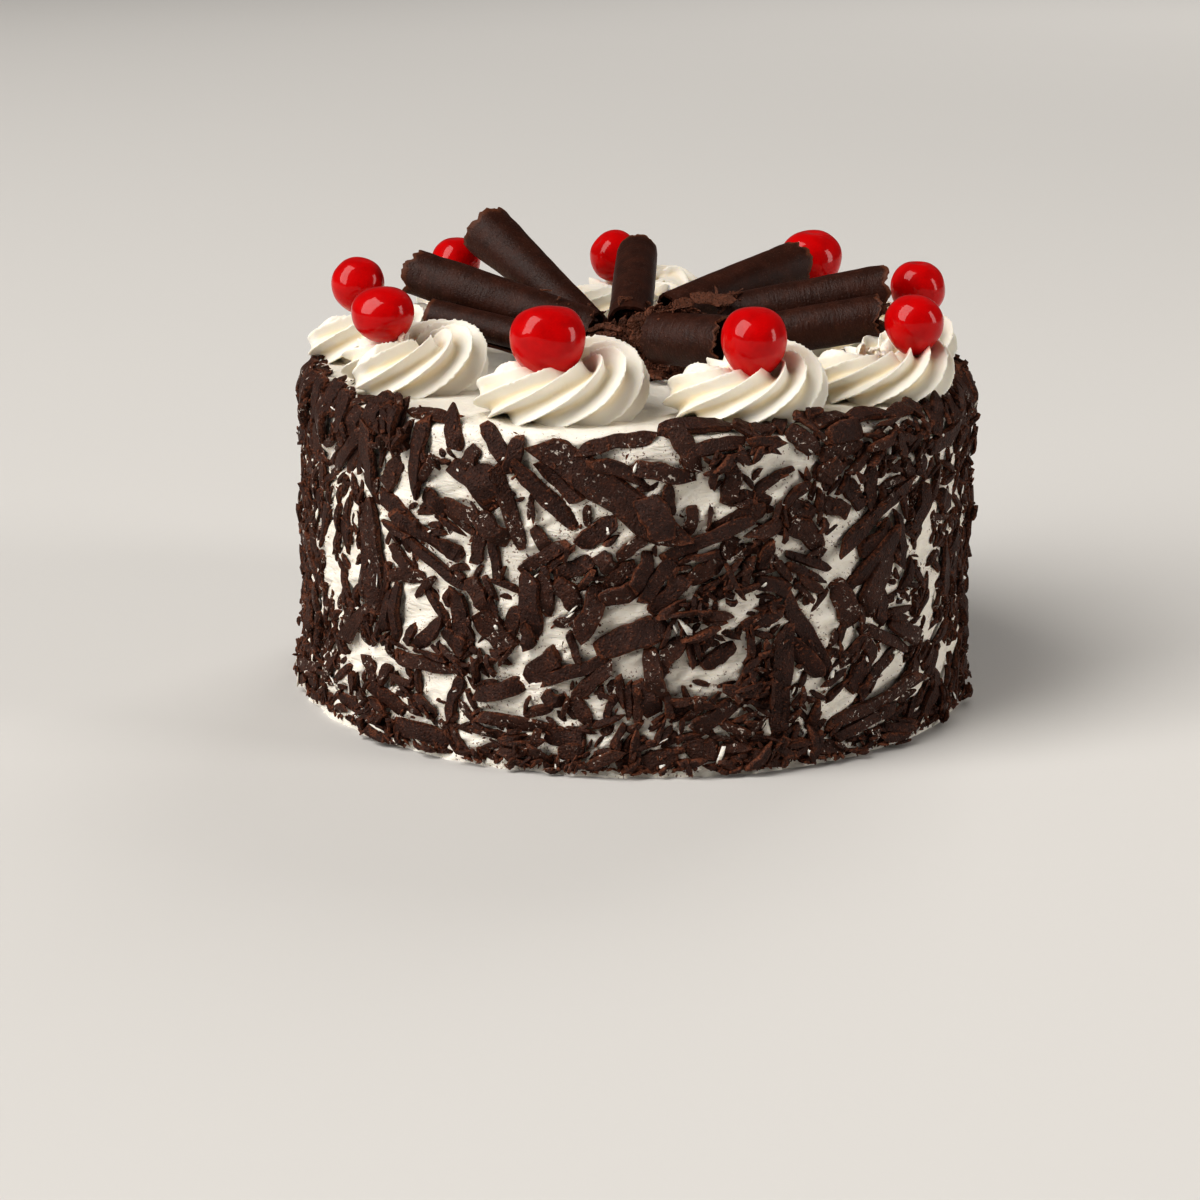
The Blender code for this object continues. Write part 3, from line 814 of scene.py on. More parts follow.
    def pick_spot(self, random, tries, low, high, length):
        """How bare the barest of a few random spots is, with its azimuth, travel and slope."""
        best = -9.0, 0.0, 0.0, 0.0
        for _ in range(tries):
            azimuth = random.uniform(-math.pi, math.pi)
            travel = random.uniform(low, high)
            slope = usual_slope(math.degrees(azimuth), travel, random)
            column, row = azimuth / math.tau * self.columns, travel / CELL
            part = np.linspace(-0.42, 0.42, 5)
            columns = column + part * length / CELL * math.cos(slope)
            rows = row + part * length / CELL * math.sin(slope)
            columns = columns.astype(int) % self.columns
            rows = np.clip(rows.astype(int), 0, self.rows - 1)
            lack = self.wanted[rows, columns] - self.covered[rows, columns]
            score = lack.mean() + 0.8 * min(lack.min(), 0.3) - 2.2 * self.guarded[rows, columns].mean()
            score += random.uniform(0, 0.30)
            if score > best[0]:
                best = score, azimuth, travel, slope
        return best


def usual_slope(azimuth, travel, random):
    """Which way the flakes lie in each part of the side, in radians."""
    stops = (-180, -110, -52, -44, -25, -18, -8, 2, 14, 32, 50, 62, 110, 180)
    means = (80, 85, 84, -40, -45, 78, 55, 40, 28, 30, 60, 80, 76, 80)
    spreads = (45, 35, 16, 42, 45, 38, 48, 48, 50, 48, 42, 32, 45, 45)
    place = bisect.bisect_right(stops, azimuth) - 1
    mean, spread = means[place], spreads[place]
    if travel < 13 * MM:
        mean, spread = mean * 0.25, 32
    elif travel > 96 * MM:
        spread = 60
    return math.radians(random.normal(mean, spread))


def lay_all(settings):
    """Presses every flake, chip and crumb on the coat, and gives each kind's places."""
    random = np.random.default_rng(20)
    coat = Coat(settings)
    kinds = {kind: [] for kind in ("planks", "flakes", "chips", "crumbs", "dabs")}

    def stay_up(travel, slope, length, width):
        """No lower than the flake's own reach, so that nothing goes under the foot."""
        return max(travel, (abs(math.sin(slope)) * length + abs(math.cos(slope)) * width) / 2 + 0.4 * MM)

    def press(kind, azimuth, travel, slope, length, width, thick, **more):
        middle, axes = coat.lay(azimuth, travel, slope, length, width, thick, **more)
        low = middle[2] - abs(axes[2, 0]) * length * 0.52 - abs(axes[2, 1]) * width * 0.62
        low += min(-0.3 * axes[2, 2], 1.6 * axes[2, 2]) * thick
        middle[2] += max(FOOT_GAP - low, 0)
        shape = random.integers(SHAPES[kind])
        kinds[kind].append((middle, axes, (length, width, thick), shape, random.random()))

    # long flakes first, so that they lie close to the cream
    for azimuth, height, slope, length, width in LONG_FLAKES:
        slope = math.radians(slope)
        length, width = length * MM, width * MM
        travel = stay_up(height * MM, slope, length, width)
        thick = (1.8 + 0.12 * width / MM) * MM * random.uniform(0.85, 1.15)
        if width < 3.2 * MM:
            thick = 2.6 * MM
        kick = random.normal(0, (0.05, 0.12))
        press("planks", math.radians(azimuth), travel, slope, length * 1.04, width * 1.08, thick,
              kick=kick, sink=0.45 * MM, guard=1.0, lean=0.62)
    for _ in range(SPARE_PLANKS):
        length = random.uniform(15, 29) * MM
        width = random.uniform(3.6, 7.0) * MM
        _, azimuth, travel, slope = coat.pick_spot(random, 9, 8 * MM, 101 * MM, length)
        if abs(math.degrees(azimuth)) < 54:
            continue
        travel = stay_up(travel, slope, length, width)
        press("planks", azimuth, travel, slope, length, width, random.uniform(1.7, 2.4) * MM,
              kick=random.normal(0, (0.05, 0.12)), guard=0.8, lean=0.62)
    # chips that end up under the rest
    for _ in range(settings.chips // 3):
        length, width = random.uniform(3, 6.5) * MM, random.uniform(1.3, 2.6) * MM
        best, azimuth, travel, slope = coat.pick_spot(random, 2, 1 * MM, OVER_EDGE, length)
        if best > 0.35:
            travel = stay_up(travel, slope, length, width)
            press("chips", azimuth, travel, slope, length, width, random.uniform(0.8, 1.4) * MM,
                  kick=random.normal(0, 0.1, 2), lean=0.9)
    # middle-sized flakes
    for number in range(settings.flakes):
        length = (5.0 + 11.0 * random.beta(1.4, 3.0)) * MM
        width = np.clip(length * random.uniform(0.18, 0.38), 1.6 * MM, 4.2 * MM)
        thick = settings.thickness * random.uniform(0.72, 1.35)
        if random.random() < 0.25:
            width, thick = random.uniform(1.2, 1.9) * MM, thick * 1.25
        best, azimuth, travel, slope = coat.pick_spot(random, 5, 2 * MM, OVER_EDGE + 1 * MM, length)
        aside = abs(math.degrees(azimuth))
        flank = smooth(40, 60, aside) * smooth(115, 95, aside)
        if best < (0.68 if number < settings.flakes * 0.6 else 0.49) - 0.07 * flank:
            continue
        thick *= 1 - 0.35 * flank
        travel = stay_up(travel, slope, length, width)
        rough = (0.22 if travel < 12 * MM or travel > 90 * MM else 0.19) * (1 - 0.4 * flank)
        press("flakes", azimuth, travel, slope, length, width, thick,
              kick=random.normal(0, rough, 2), lean=0.75)
    # the rest of the chips, on top
    for _ in range(settings.chips - settings.chips // 3):
        length, width = random.uniform(2.6, 6.5) * MM, random.uniform(0.9, 2.4) * MM
        best, azimuth, travel, slope = coat.pick_spot(random, 4, 0.8 * MM, OVER_EDGE, length)
        if best < 0.05:
            continue
        slope += random.normal(0, 0.5)
        travel = stay_up(travel, slope, length, width)
        press("chips", azimuth, travel, slope, length, width, random.uniform(0.9, 1.8) * MM,
              kick=random.normal(0, 0.30 if travel < SIDE_HEIGHT - 6 * MM else 0.12, 2), lean=0.9)
    near = blur(coat.covered, 4)
    for _ in range(settings.crumbs):
        size = (0.6 + 1.7 * random.beta(1.2, 4.0)) * MM
        azimuth, travel = random.uniform(-math.pi, math.pi), random.uniform(0.6 * MM, REACH - 1 * MM)
        slope = usual_slope(math.degrees(azimuth), travel, random)
        row, column = min(int(travel / CELL), coat.rows - 1), int(azimuth / math.tau * coat.columns)
        if near[row, column] ** 1.5 + 0.04 < random.uniform(0, 0.8):
            continue
        if random.random() < 0.14:
            travel = random.uniform(0.6, 4.0) * MM
            size *= 1.5
        shape = size * random.uniform((0.8, 0.4, 0.35), (2.3, 0.85, 0.75))
        slope += random.normal(0, 0.7)
        travel = stay_up(travel, slope, shape[0], shape[1])
        kind = "dabs" if random.random() < 0.05 and travel < OVER_EDGE else "crumbs"
        if kind == "dabs":
            shape = shape * (2.2, 1.7, 0.7)
        press(kind, azimuth, travel, slope, *shape, kick=random.normal(0, 0.3, 2), sink=0.3 * MM, loose=True)
    return coat, kinds


def angles(axes):
    """Turns given by their axes, as angles round X, Y and Z."""
    tip = -np.arcsin(np.clip(axes[:, 2, 0], -1, 1))
    roll = np.arctan2(axes[:, 2, 1], axes[:, 2, 2])
    yaw = np.arctan2(axes[:, 1, 0], axes[:, 0, 0])
    return np.stack([roll, tip, yaw], 1)


def scatter(name, places, shapes, material, tree):
    """One piece of many copies: each place has a middle, axes, a size, a shape's number and a tint."""
    spots, axes, sizes, picks, tints = (np.array(values) for values in zip(*places))
    thing = new_object(name, spots, [])
    set_attribute(thing.data, "turn", angles(axes), "FLOAT_VECTOR")
    set_attribute(thing.data, "size", sizes, "FLOAT_VECTOR")
    set_attribute(thing.data, "pick", picks.astype(np.int32), "INT")
    set_attribute(thing.data, "tint", tints)
    store = bpy.data.collections.new(name + "_shapes")
    for shape in shapes:
        bpy.context.scene.collection.objects.unlink(shape)
        store.objects.link(shape)
    run_tree(thing, tree, {"Shapes": store, "Finish": material})
    for shape in shapes:
        bpy.data.objects.remove(shape)
    bpy.data.collections.remove(store)
    for label in ("turn", "size", "pick"):
        if label in thing.data.attributes:
            thing.data.attributes.remove(thing.data.attributes[label])
    return thing


def wander(random, count, size):
    """Random values that drift smoothly from one to the next."""
    values = random.normal(0, size * 1.9, count + 4)
    for _ in range(2):
        values = np.convolve(values, (0.25, 0.5, 0.25), "same")
    return values[2:-2]


def several(kind, make, *more):
    """All the shapes of a kind, each a little different."""
    return [make(f"{kind}_{k:02d}", *more) for k in range(SHAPES[kind])]


def rod(name, points, size):
    """A closed rod through rings of that many points."""
    faces = grid_faces(len(points) // size, size)
    faces.append(list(range(size)))
    faces.append(list(range(len(points) - size, len(points)))[::-1])
    shape = new_object(name, points, faces)
    fix_outward(shape.data)
    return shape


# outlines across a plank and across a flake: side, level, and how broken the edge is there; the lower
# corners get less broken-edge colour than the upper ones, painted shade on a flake's underside
PLANK_OUTLINE = (
    (-1, 0.55, 1), (-0.84, 1.0, 0.35), (0, 1.06, 0), (0.84, 1.0, 0.35),
    (1, 0.5, 1), (0.8, 0.0, 0.2), (0, 0.04, 0), (-0.8, 0.0, 0.2))
FLAKE_OUTLINE = (
    (-1, 0.5, 1), (-0.74, 1.0, 0.35), (0.1, 1.05, 0), (0.74, 1.0, 0.35),
    (1, 0.5, 1), (0.7, 0.0, 0.2), (-0.7, 0, 0.2))


def flake_shape(name, random, stations, plank):
    """A flake one unit long, wide and thick, with its underside at the bottom and worn broken edges."""
    along = np.linspace(-1, 1, stations)
    along[1:-1] += random.uniform(-0.3, 0.3, stations - 2) / stations
    blunt_ends = plank or random.random() < 0.6
    blunt = random.uniform(*((0.40, 0.85) if blunt_ends else (0.15, 0.6)), 2)
    blunt = np.where(along < 0, blunt[0], blunt[1])
    power = random.uniform(2.5, 8.0)
    middle = random.uniform(-0.30, 0.30) * (along ** 2 - 0.4) + wander(random, stations, 0.05)
    bow = random.uniform(-0.2, 0.6) * (1 - along ** 2) + wander(random, stations, 0.10)
    twist = random.normal(0, 0.22) * along
    edges = 1 + np.stack([wander(random, stations, 0.10), wander(random, stations, 0.10)])
    thin = 1 - random.uniform(0.1, 0.5) * np.abs(along) ** 3
    outline = PLANK_OUTLINE if plank else FLAKE_OUTLINE
    points, broken = [], []
    for k in range(stations):
        half = 1 - (1 - blunt[k]) * abs(along[k]) ** power
        sides = half * edges[:, k] * random.normal(1, 0.015, 2)
        end = abs(along[k]) > 0.97
        slant = random.uniform(-0.08, 0.08, 2)
        for side, level, worn in outline:
            x = along[k] / 2 + (slant[0] * side + slant[1] * (level - 0.5) if end else 0)
            y = side * sides[int(side > 0)] / 2 + middle[k] / 2
            z = (level - 0.5) * thin[k] + 0.5 + bow[k] + twist[k] * side + random.normal(0, 0.025)
            points.append((x, y, z))
            broken.append(max(worn, 0.85 if end else 0.0))
    shape = rod(name, points, len(outline))
    set_attribute(shape.data, "edge", broken)
    shade(shape.data, 28)
    return shape


def crumb_shape(name, random):
    """A rough crumb, about one unit across."""
    golden = (1 + 5 ** 0.5) / 2
    points = []
    for a in (-1, 1):
        for b in (-golden, golden):
            points += [(0, a, b), (a, b, 0), (b, 0, a)]
    points = np.array(points) / math.hypot(1, golden) / 2
    points *= random.uniform(0.50, 1.20, (12, 1))
    shape = new_object(name, points + (0, 0, 0.45), hull_faces(points))
    fix_outward(shape.data)
    set_attribute(shape.data, "edge", random.uniform(0.5, 1.5, 12))
    return shape


def hull_faces(points):
    """The twenty triangles of the crumb: every three points that are close neighbours."""
    rays = points / np.linalg.norm(points, axis=1)[:, None]
    near = rays @ rays.T > 0.4
    faces = []
    for a in range(12):
        for b in range(a + 1, 12):
            for c in range(b + 1, 12):
                if near[a, b] and near[b, c] and near[a, c]:
                    faces.append([a, b, c])
    return faces


def blur(values, cells):
    """Softens a map over that many cells, joined end to end sideways."""
    for _ in range(2):
        pad = np.pad(values, ((cells, cells), (0, 0)), "edge")
        total = np.cumsum(np.pad(pad, ((1, 0), (0, 0))), 0)
        values = (total[2 * cells + 1:] - total[:-2 * cells - 1]) / (2 * cells + 1)
        pad = np.pad(values, ((0, 0), (cells, cells)), "wrap")
        total = np.cumsum(np.pad(pad, ((0, 0), (1, 0))), 1)
        values = (total[:, 2 * cells + 1:] - total[:, :-2 * cells - 1]) / (2 * cells + 1)
    return values


laid = {}


def laid_coat(context):
    """The flakes' places, worked out once for the cream and the flakes."""
    if not laid:
        laid["coat"], laid["kinds"] = lay_all(context.scene.cake_coat)
    return laid["coat"], laid["kinds"]


# ---------------------------------------------------------------- operators

class CAKE_OT_cream_coat(bpy.types.Operator):
    """Spread the cream over the side and the top, pressed in under the flakes"""
    bl_idname = "cake.cream_coat"
    bl_label = "Cream Coat"

    COLUMNS = 700

    def execute(self, context):
        settings = context.scene.cake_coat
        coat, _ = laid_coat(context)
        travel, radius, height, out, up = self.rows(settings)
        azimuth = np.arange(self.COLUMNS) / self.COLUMNS * math.tau
        rows = len(travel)
        around_all, travel_all = np.tile(azimuth, rows), np.repeat(travel, self.COLUMNS)
        radius_all, height_all = np.repeat(radius, self.COLUMNS), np.repeat(height, self.COLUMNS)
        lift, dust = self.relief(coat, around_all, travel_all, radius_all)
        out_all, up_all = np.repeat(out, self.COLUMNS), np.repeat(up, self.COLUMNS)
        lift *= np.clip(radius_all / (20 * MM), 0, 1)
        foot = np.minimum(height_all / (2 * MM), 1)
        points = around(around_all, radius_all + lift * out_all, height_all + lift * up_all * foot)
        points = np.vstack([points, (0, 0, 0), (0, 0, height[-1])])
        faces = grid_faces(rows, self.COLUMNS)
        faces += cap_faces(rows, self.COLUMNS, len(points) - 2, len(points) - 1)
        piece = new_object("cream_coat", points, faces)
        set_attribute(piece.data, "dust", np.append(dust, (0, 0)))
        shade(piece.data, 60)
        finish_piece(piece, "whipped_cream", cream_finish(settings.cream), "cake_body")
        return {"FINISHED"}

    def rows(self, settings):
        """Distances up the side, over the edge and in to the middle, with the profile there."""
        side = np.linspace(0, SIDE_HEIGHT, 104)
        edge = np.linspace(SIDE_HEIGHT, OVER_EDGE, 9)[1:]
        span = settings.cream_radius - TAPER - EDGE
        top = OVER_EDGE + (span - 2 * MM) * np.linspace(0, 1, 17)[1:] ** 1.5
        travel = np.concatenate([side, edge, top])
        return (travel, *coat_profile(settings, travel))

    def relief(self, coat, azimuth, travel, radius):
        """How far the cream stands out at each point, and how dusty and shaded it is: cocoa dust and painted
        shade close to the flakes.
        """
        flat = around(azimuth, radius, np.minimum(travel, OVER_EDGE))
        lift = 0.7 * MM * grain(flat, 38 * MM, 1)
        strokes = np.stack([flat[:, 0] * 0.8 + flat[:, 2] * 0.5, (flat[:, 2] - flat[:, 0] * 0.6) * 4.2,
                            flat[:, 1] * 1.2], -1)
        lift += 0.80 * MM * grain(strokes, 11 * MM, 2)
        ridges = 1 - np.abs(grain(strokes + 3, 15 * MM, 3)) * 2
        lift += 0.95 * MM * np.clip(ridges, 0, 1) ** 3
        lift += 0.38 * MM * grain(flat, 4.6 * MM, 4)
        on_top = smooth(SIDE_HEIGHT, OVER_EDGE + 2 * MM, travel)
        sweep = smooth(97 * MM, 92 * MM, travel) + on_top
        calm = 1 - 0.72 * (1 - np.clip(sweep, 0, 1)) - 0.5 * on_top
        lift *= calm
        row = np.clip((travel / CELL).astype(int), 0, coat.rows - 1)
        column = (azimuth / math.tau * coat.columns).astype(int) % coat.columns
        cover = blur(coat.covered, 1)
        near = blur(coat.covered, 5)
        lift -= 0.55 * MM * cover[row, column] * (travel < REACH)
        lift += 0.75 * MM * (near * (1 - cover))[row, column] * (travel < REACH)
        # close to the flakes: a mask for cocoa specks and for painted shade
        dust = near[row, column] * (travel < REACH - 6 * MM)
        return lift, dust


class CAKE_OT_flakes(bpy.types.Operator):
    """Press the chocolate flakes, chips and crumbs into the cream"""
    bl_idname = "cake.flakes"
    bl_label = "Chocolate Flakes"

    def execute(self, context):
        settings = context.scene.cake_coat
        _, kinds = laid_coat(context)
        random = np.random.default_rng(7)
        tree = scatter_tree()
        material = flake_finish("chocolate_flake", settings.face, settings.edge)
        shapes = {
            "planks": several("planks", flake_shape, random, 13, True),
            "flakes": several("flakes", flake_shape, random, 6, False),
            "chips": several("chips", flake_shape, random, 4, False),
            "crumbs": several("crumbs", crumb_shape, random)}
        for kind in shapes:
            piece = scatter("side_" + kind, kinds[kind], shapes[kind], material, tree)
            finish_piece(piece, "flake_coating", material)
        material = cream_finish(settings.cream)
        dabs = scatter("cream_dabs", kinds["dabs"], several("dabs", crumb_shape, random), material, tree)
        shade(dabs.data)
        finish_piece(dabs, "whipped_cream", material)
        return {"FINISHED"}


class CAKE_OT_swirls(bpy.types.Operator):
    """Pipe the nine cream swirls"""
    bl_idname = "cake.swirls"
    bl_label = "Cream Swirls"

    # start of the rope, its thickness and laps, and the azimuth of the high side, for each swirl in turn
    PIPING = (
        (200, 0.215, 1.10, 60), (215, 0.220, 1.12, 110), (172, 0.218, 1.10, 128), (168, 0.212, 1.12, 140),
        (160, 0.215, 1.10, 120), (60, 0.215, 1.10, 120), (40, 0.218, 1.12, 180), (10, 0.215, 1.10, 120),
        (100, 0.218, 1.10, 240))
    RISE = 4.0 * MM                 # how much higher the rope ends than it starts
    SUNK = 0.6 * MM                 # how deep a swirl sits in the cream
    QUADS = 0.55 * MM               # size of a swirl's faces

    def execute(self, context):
        settings = context.scene.cake_swirls
        material = swirl_finish(settings.cream, settings.crease)
        tree = swirl_tree()
        for number, node in enumerate(SWIRL_NODES):
            piece = self.pipe(tree, settings, material, number, node)
            self.colour_in(piece.data, *corners(node.replace("rosette", "cherry")))
            finish_piece(piece, "whipped_cream", material, node)
        return {"FINISHED"}

    def pipe(self, tree, settings, material, number, node):
        """One swirl, fitted to its place."""
        low, high = corners(node)
        width = (high - low)[:2].mean()
        start, rope, laps, high_side = self.PIPING[number]
        piece = new_object(node.replace("rosette", "swirl"), [(0, 0, 0)], [])
        run_tree(piece, tree, {
            "Width": width, "Rope": rope * settings.rope, "Laps": laps * settings.laps,
            "Twist": settings.twist, "Ridges": settings.ridges, "Groove": settings.groove,
            "Start": math.radians(start), "Rise": self.RISE, "Finish": material})
        points = coordinates(piece.data)
        points += 0.28 * MM * np.stack([grain(points, 7 * MM, number * 9 + k) for k in range(3)], -1)
        reach = points.max(0) - points.min(0)
        middle = (points.max(0) + points.min(0)) / 2
        flat = (points - middle)[:, :2]
        toward = math.radians(high_side)
        lean = (flat @ (math.sin(toward), -math.cos(toward))) / (width * 0.42)
        points[:, 2] *= 1 - 0.17 * (1 - np.clip(lean, -1, 1))
        points[:, 2] = np.maximum(points[:, 2], 0)
        tall = points[:, 2].max()
        scale = (high - low) / (reach[0], reach[1], tall)
        points = (points - (middle[0], middle[1], 0)) * scale
        points += ((low + high)[0] / 2, (low + high)[1] / 2, CAKE_TOP - self.SUNK)
        set_coordinates(piece.data, points)
        merge = piece.modifiers.new("merge", "REMESH")
        merge.mode, merge.voxel_size, merge.adaptivity = "VOXEL", self.QUADS, 0.0
        make_plain(piece)
        fix_outward(piece.data)
        shade(piece.data)
        return piece

    def colour_in(self, mesh, low, high):
        """Marks the grooves for their buttery tint and painted shade, and the cream that the cherry between
        these corners touches.
        """
        points, normals = coordinates(mesh), coordinates(mesh, "normals")
        ends = np.empty(len(mesh.edges) * 2, np.int64)
        mesh.edges.foreach_get("vertices", ends)
        one, other = ends.reshape(-1, 2).T
        both = np.concatenate([one, other])
        beside = np.concatenate([other, one])
        count = np.maximum(np.bincount(both, minlength=len(points)), 1)[:, None]
        soft = points.copy()
        for step in range(14):
            total = np.stack([np.bincount(both, soft[beside, k], len(points)) for k in range(3)], -1)
            soft = total / count
            if step == 1:
                ironed = soft.copy()
        hollow = ((soft - points) * normals).sum(1)
        # how hollow the cream is: a buttery tint and painted shade in the grooves
        set_attribute(mesh, "crease", 0.26 * smooth(0.02 * MM, 0.35 * MM, hollow)
                      + 0.80 * smooth(0.32 * MM, 0.90 * MM, hollow))
        away = np.linalg.norm((points - (low + high) / 2) / ((high - low) / 2), axis=1) - 1
        near = away * (high - low).mean() / 2
        set_attribute(mesh, "blush", 0.55 * np.exp(-np.clip(near, 0, 1) ** 2 / (1.3 * MM) ** 2))
        set_coordinates(mesh, points * 0.75 + ironed * 0.25)


class CAKE_OT_cherries(bpy.types.Operator):
    """Set a glazed cherry on each swirl"""
    bl_idname = "cake.cherries"
    bl_label = "Glazed Cherries"

    # where the stem was, as azimuth and height in degrees, with the depth of its dimple
    STEMS = ((30, 80, 0.7), (200, 60, 0.5), (150, 70, 0.4), (170, 82, 0.3), (200, 70, 0.5),
             (0, 88, 1.6), (20, 84, 1.2), (-70, 40, 1.4), (-30, 86, 0.8))
    # how square each cherry is, and how much narrower it gets toward its foot
    BUILDS = ((1.0, 0.10), (0.97, 0.06), (0.90, 0.12), (1.0, 0.16), (0.98, 0.14),
              (0.97, 0.05), (0.97, 0.08), (0.98, 0.04), (1.0, 0.08))

    def execute(self, context):
        settings = context.scene.cake_cherries
        material = cherry_finish(settings.skin)
        for number, node in enumerate(CHERRY_NODES):
            piece = self.cherry(settings, number, node)
            finish_piece(piece, "glazed_cherry", material, node)
        return {"FINISHED"}

    def cherry(self, settings, number, node):
        """A round fruit in its solid's box, with a dimple at the stem and shallow dents."""
        low, high = corners(node)
        rows, columns = 42, 72
        height = np.linspace(-math.pi / 2, math.pi / 2, rows + 2)[1:-1]
        azimuth = np.arange(columns) / columns * math.tau
        azimuth, height = np.tile(azimuth, rows), np.repeat(height, columns)
        ball = around(azimuth, np.cos(height), np.sin(height))
        ball = np.vstack([ball, (0, 0, -1), (0, 0, 1)])
        side, level, depth = self.STEMS[number]
        side, level = math.radians(side), math.radians(level)
        stem = around(np.array([side]), math.cos(level), np.array([math.sin(level)]))[0]
        close = np.arccos(np.clip(ball @ stem, -1, 1))
        square, taper = self.BUILDS[number]
        size = 1 + settings.dent * grain(ball + number * 5, 0.95, 3)
        size += settings.dent * 0.3 * grain(ball + number * 5, 0.42, 4)
        size -= depth * 0.085 * np.exp(-(close / 0.24) ** 2)
        size *= 1 - 0.05 * np.clip(-ball[:, 2], 0, 1) ** 2
        points = np.sign(ball) * np.abs(ball) ** square * size[:, None]
        points[:, :2] *= 1 + taper * points[:, 2:]
        points = (points - (points.max(0) + points.min(0)) / 2) / (points.max(0) - points.min(0))
        points = points * (high - low) + (high + low) / 2
        faces = grid_faces(rows, columns) + cap_faces(rows, columns, len(points) - 2, len(points) - 1)
        piece = new_object(node.replace("cherry", "glazed_cherry"), points, faces)
        shade(piece.data)
        return piece


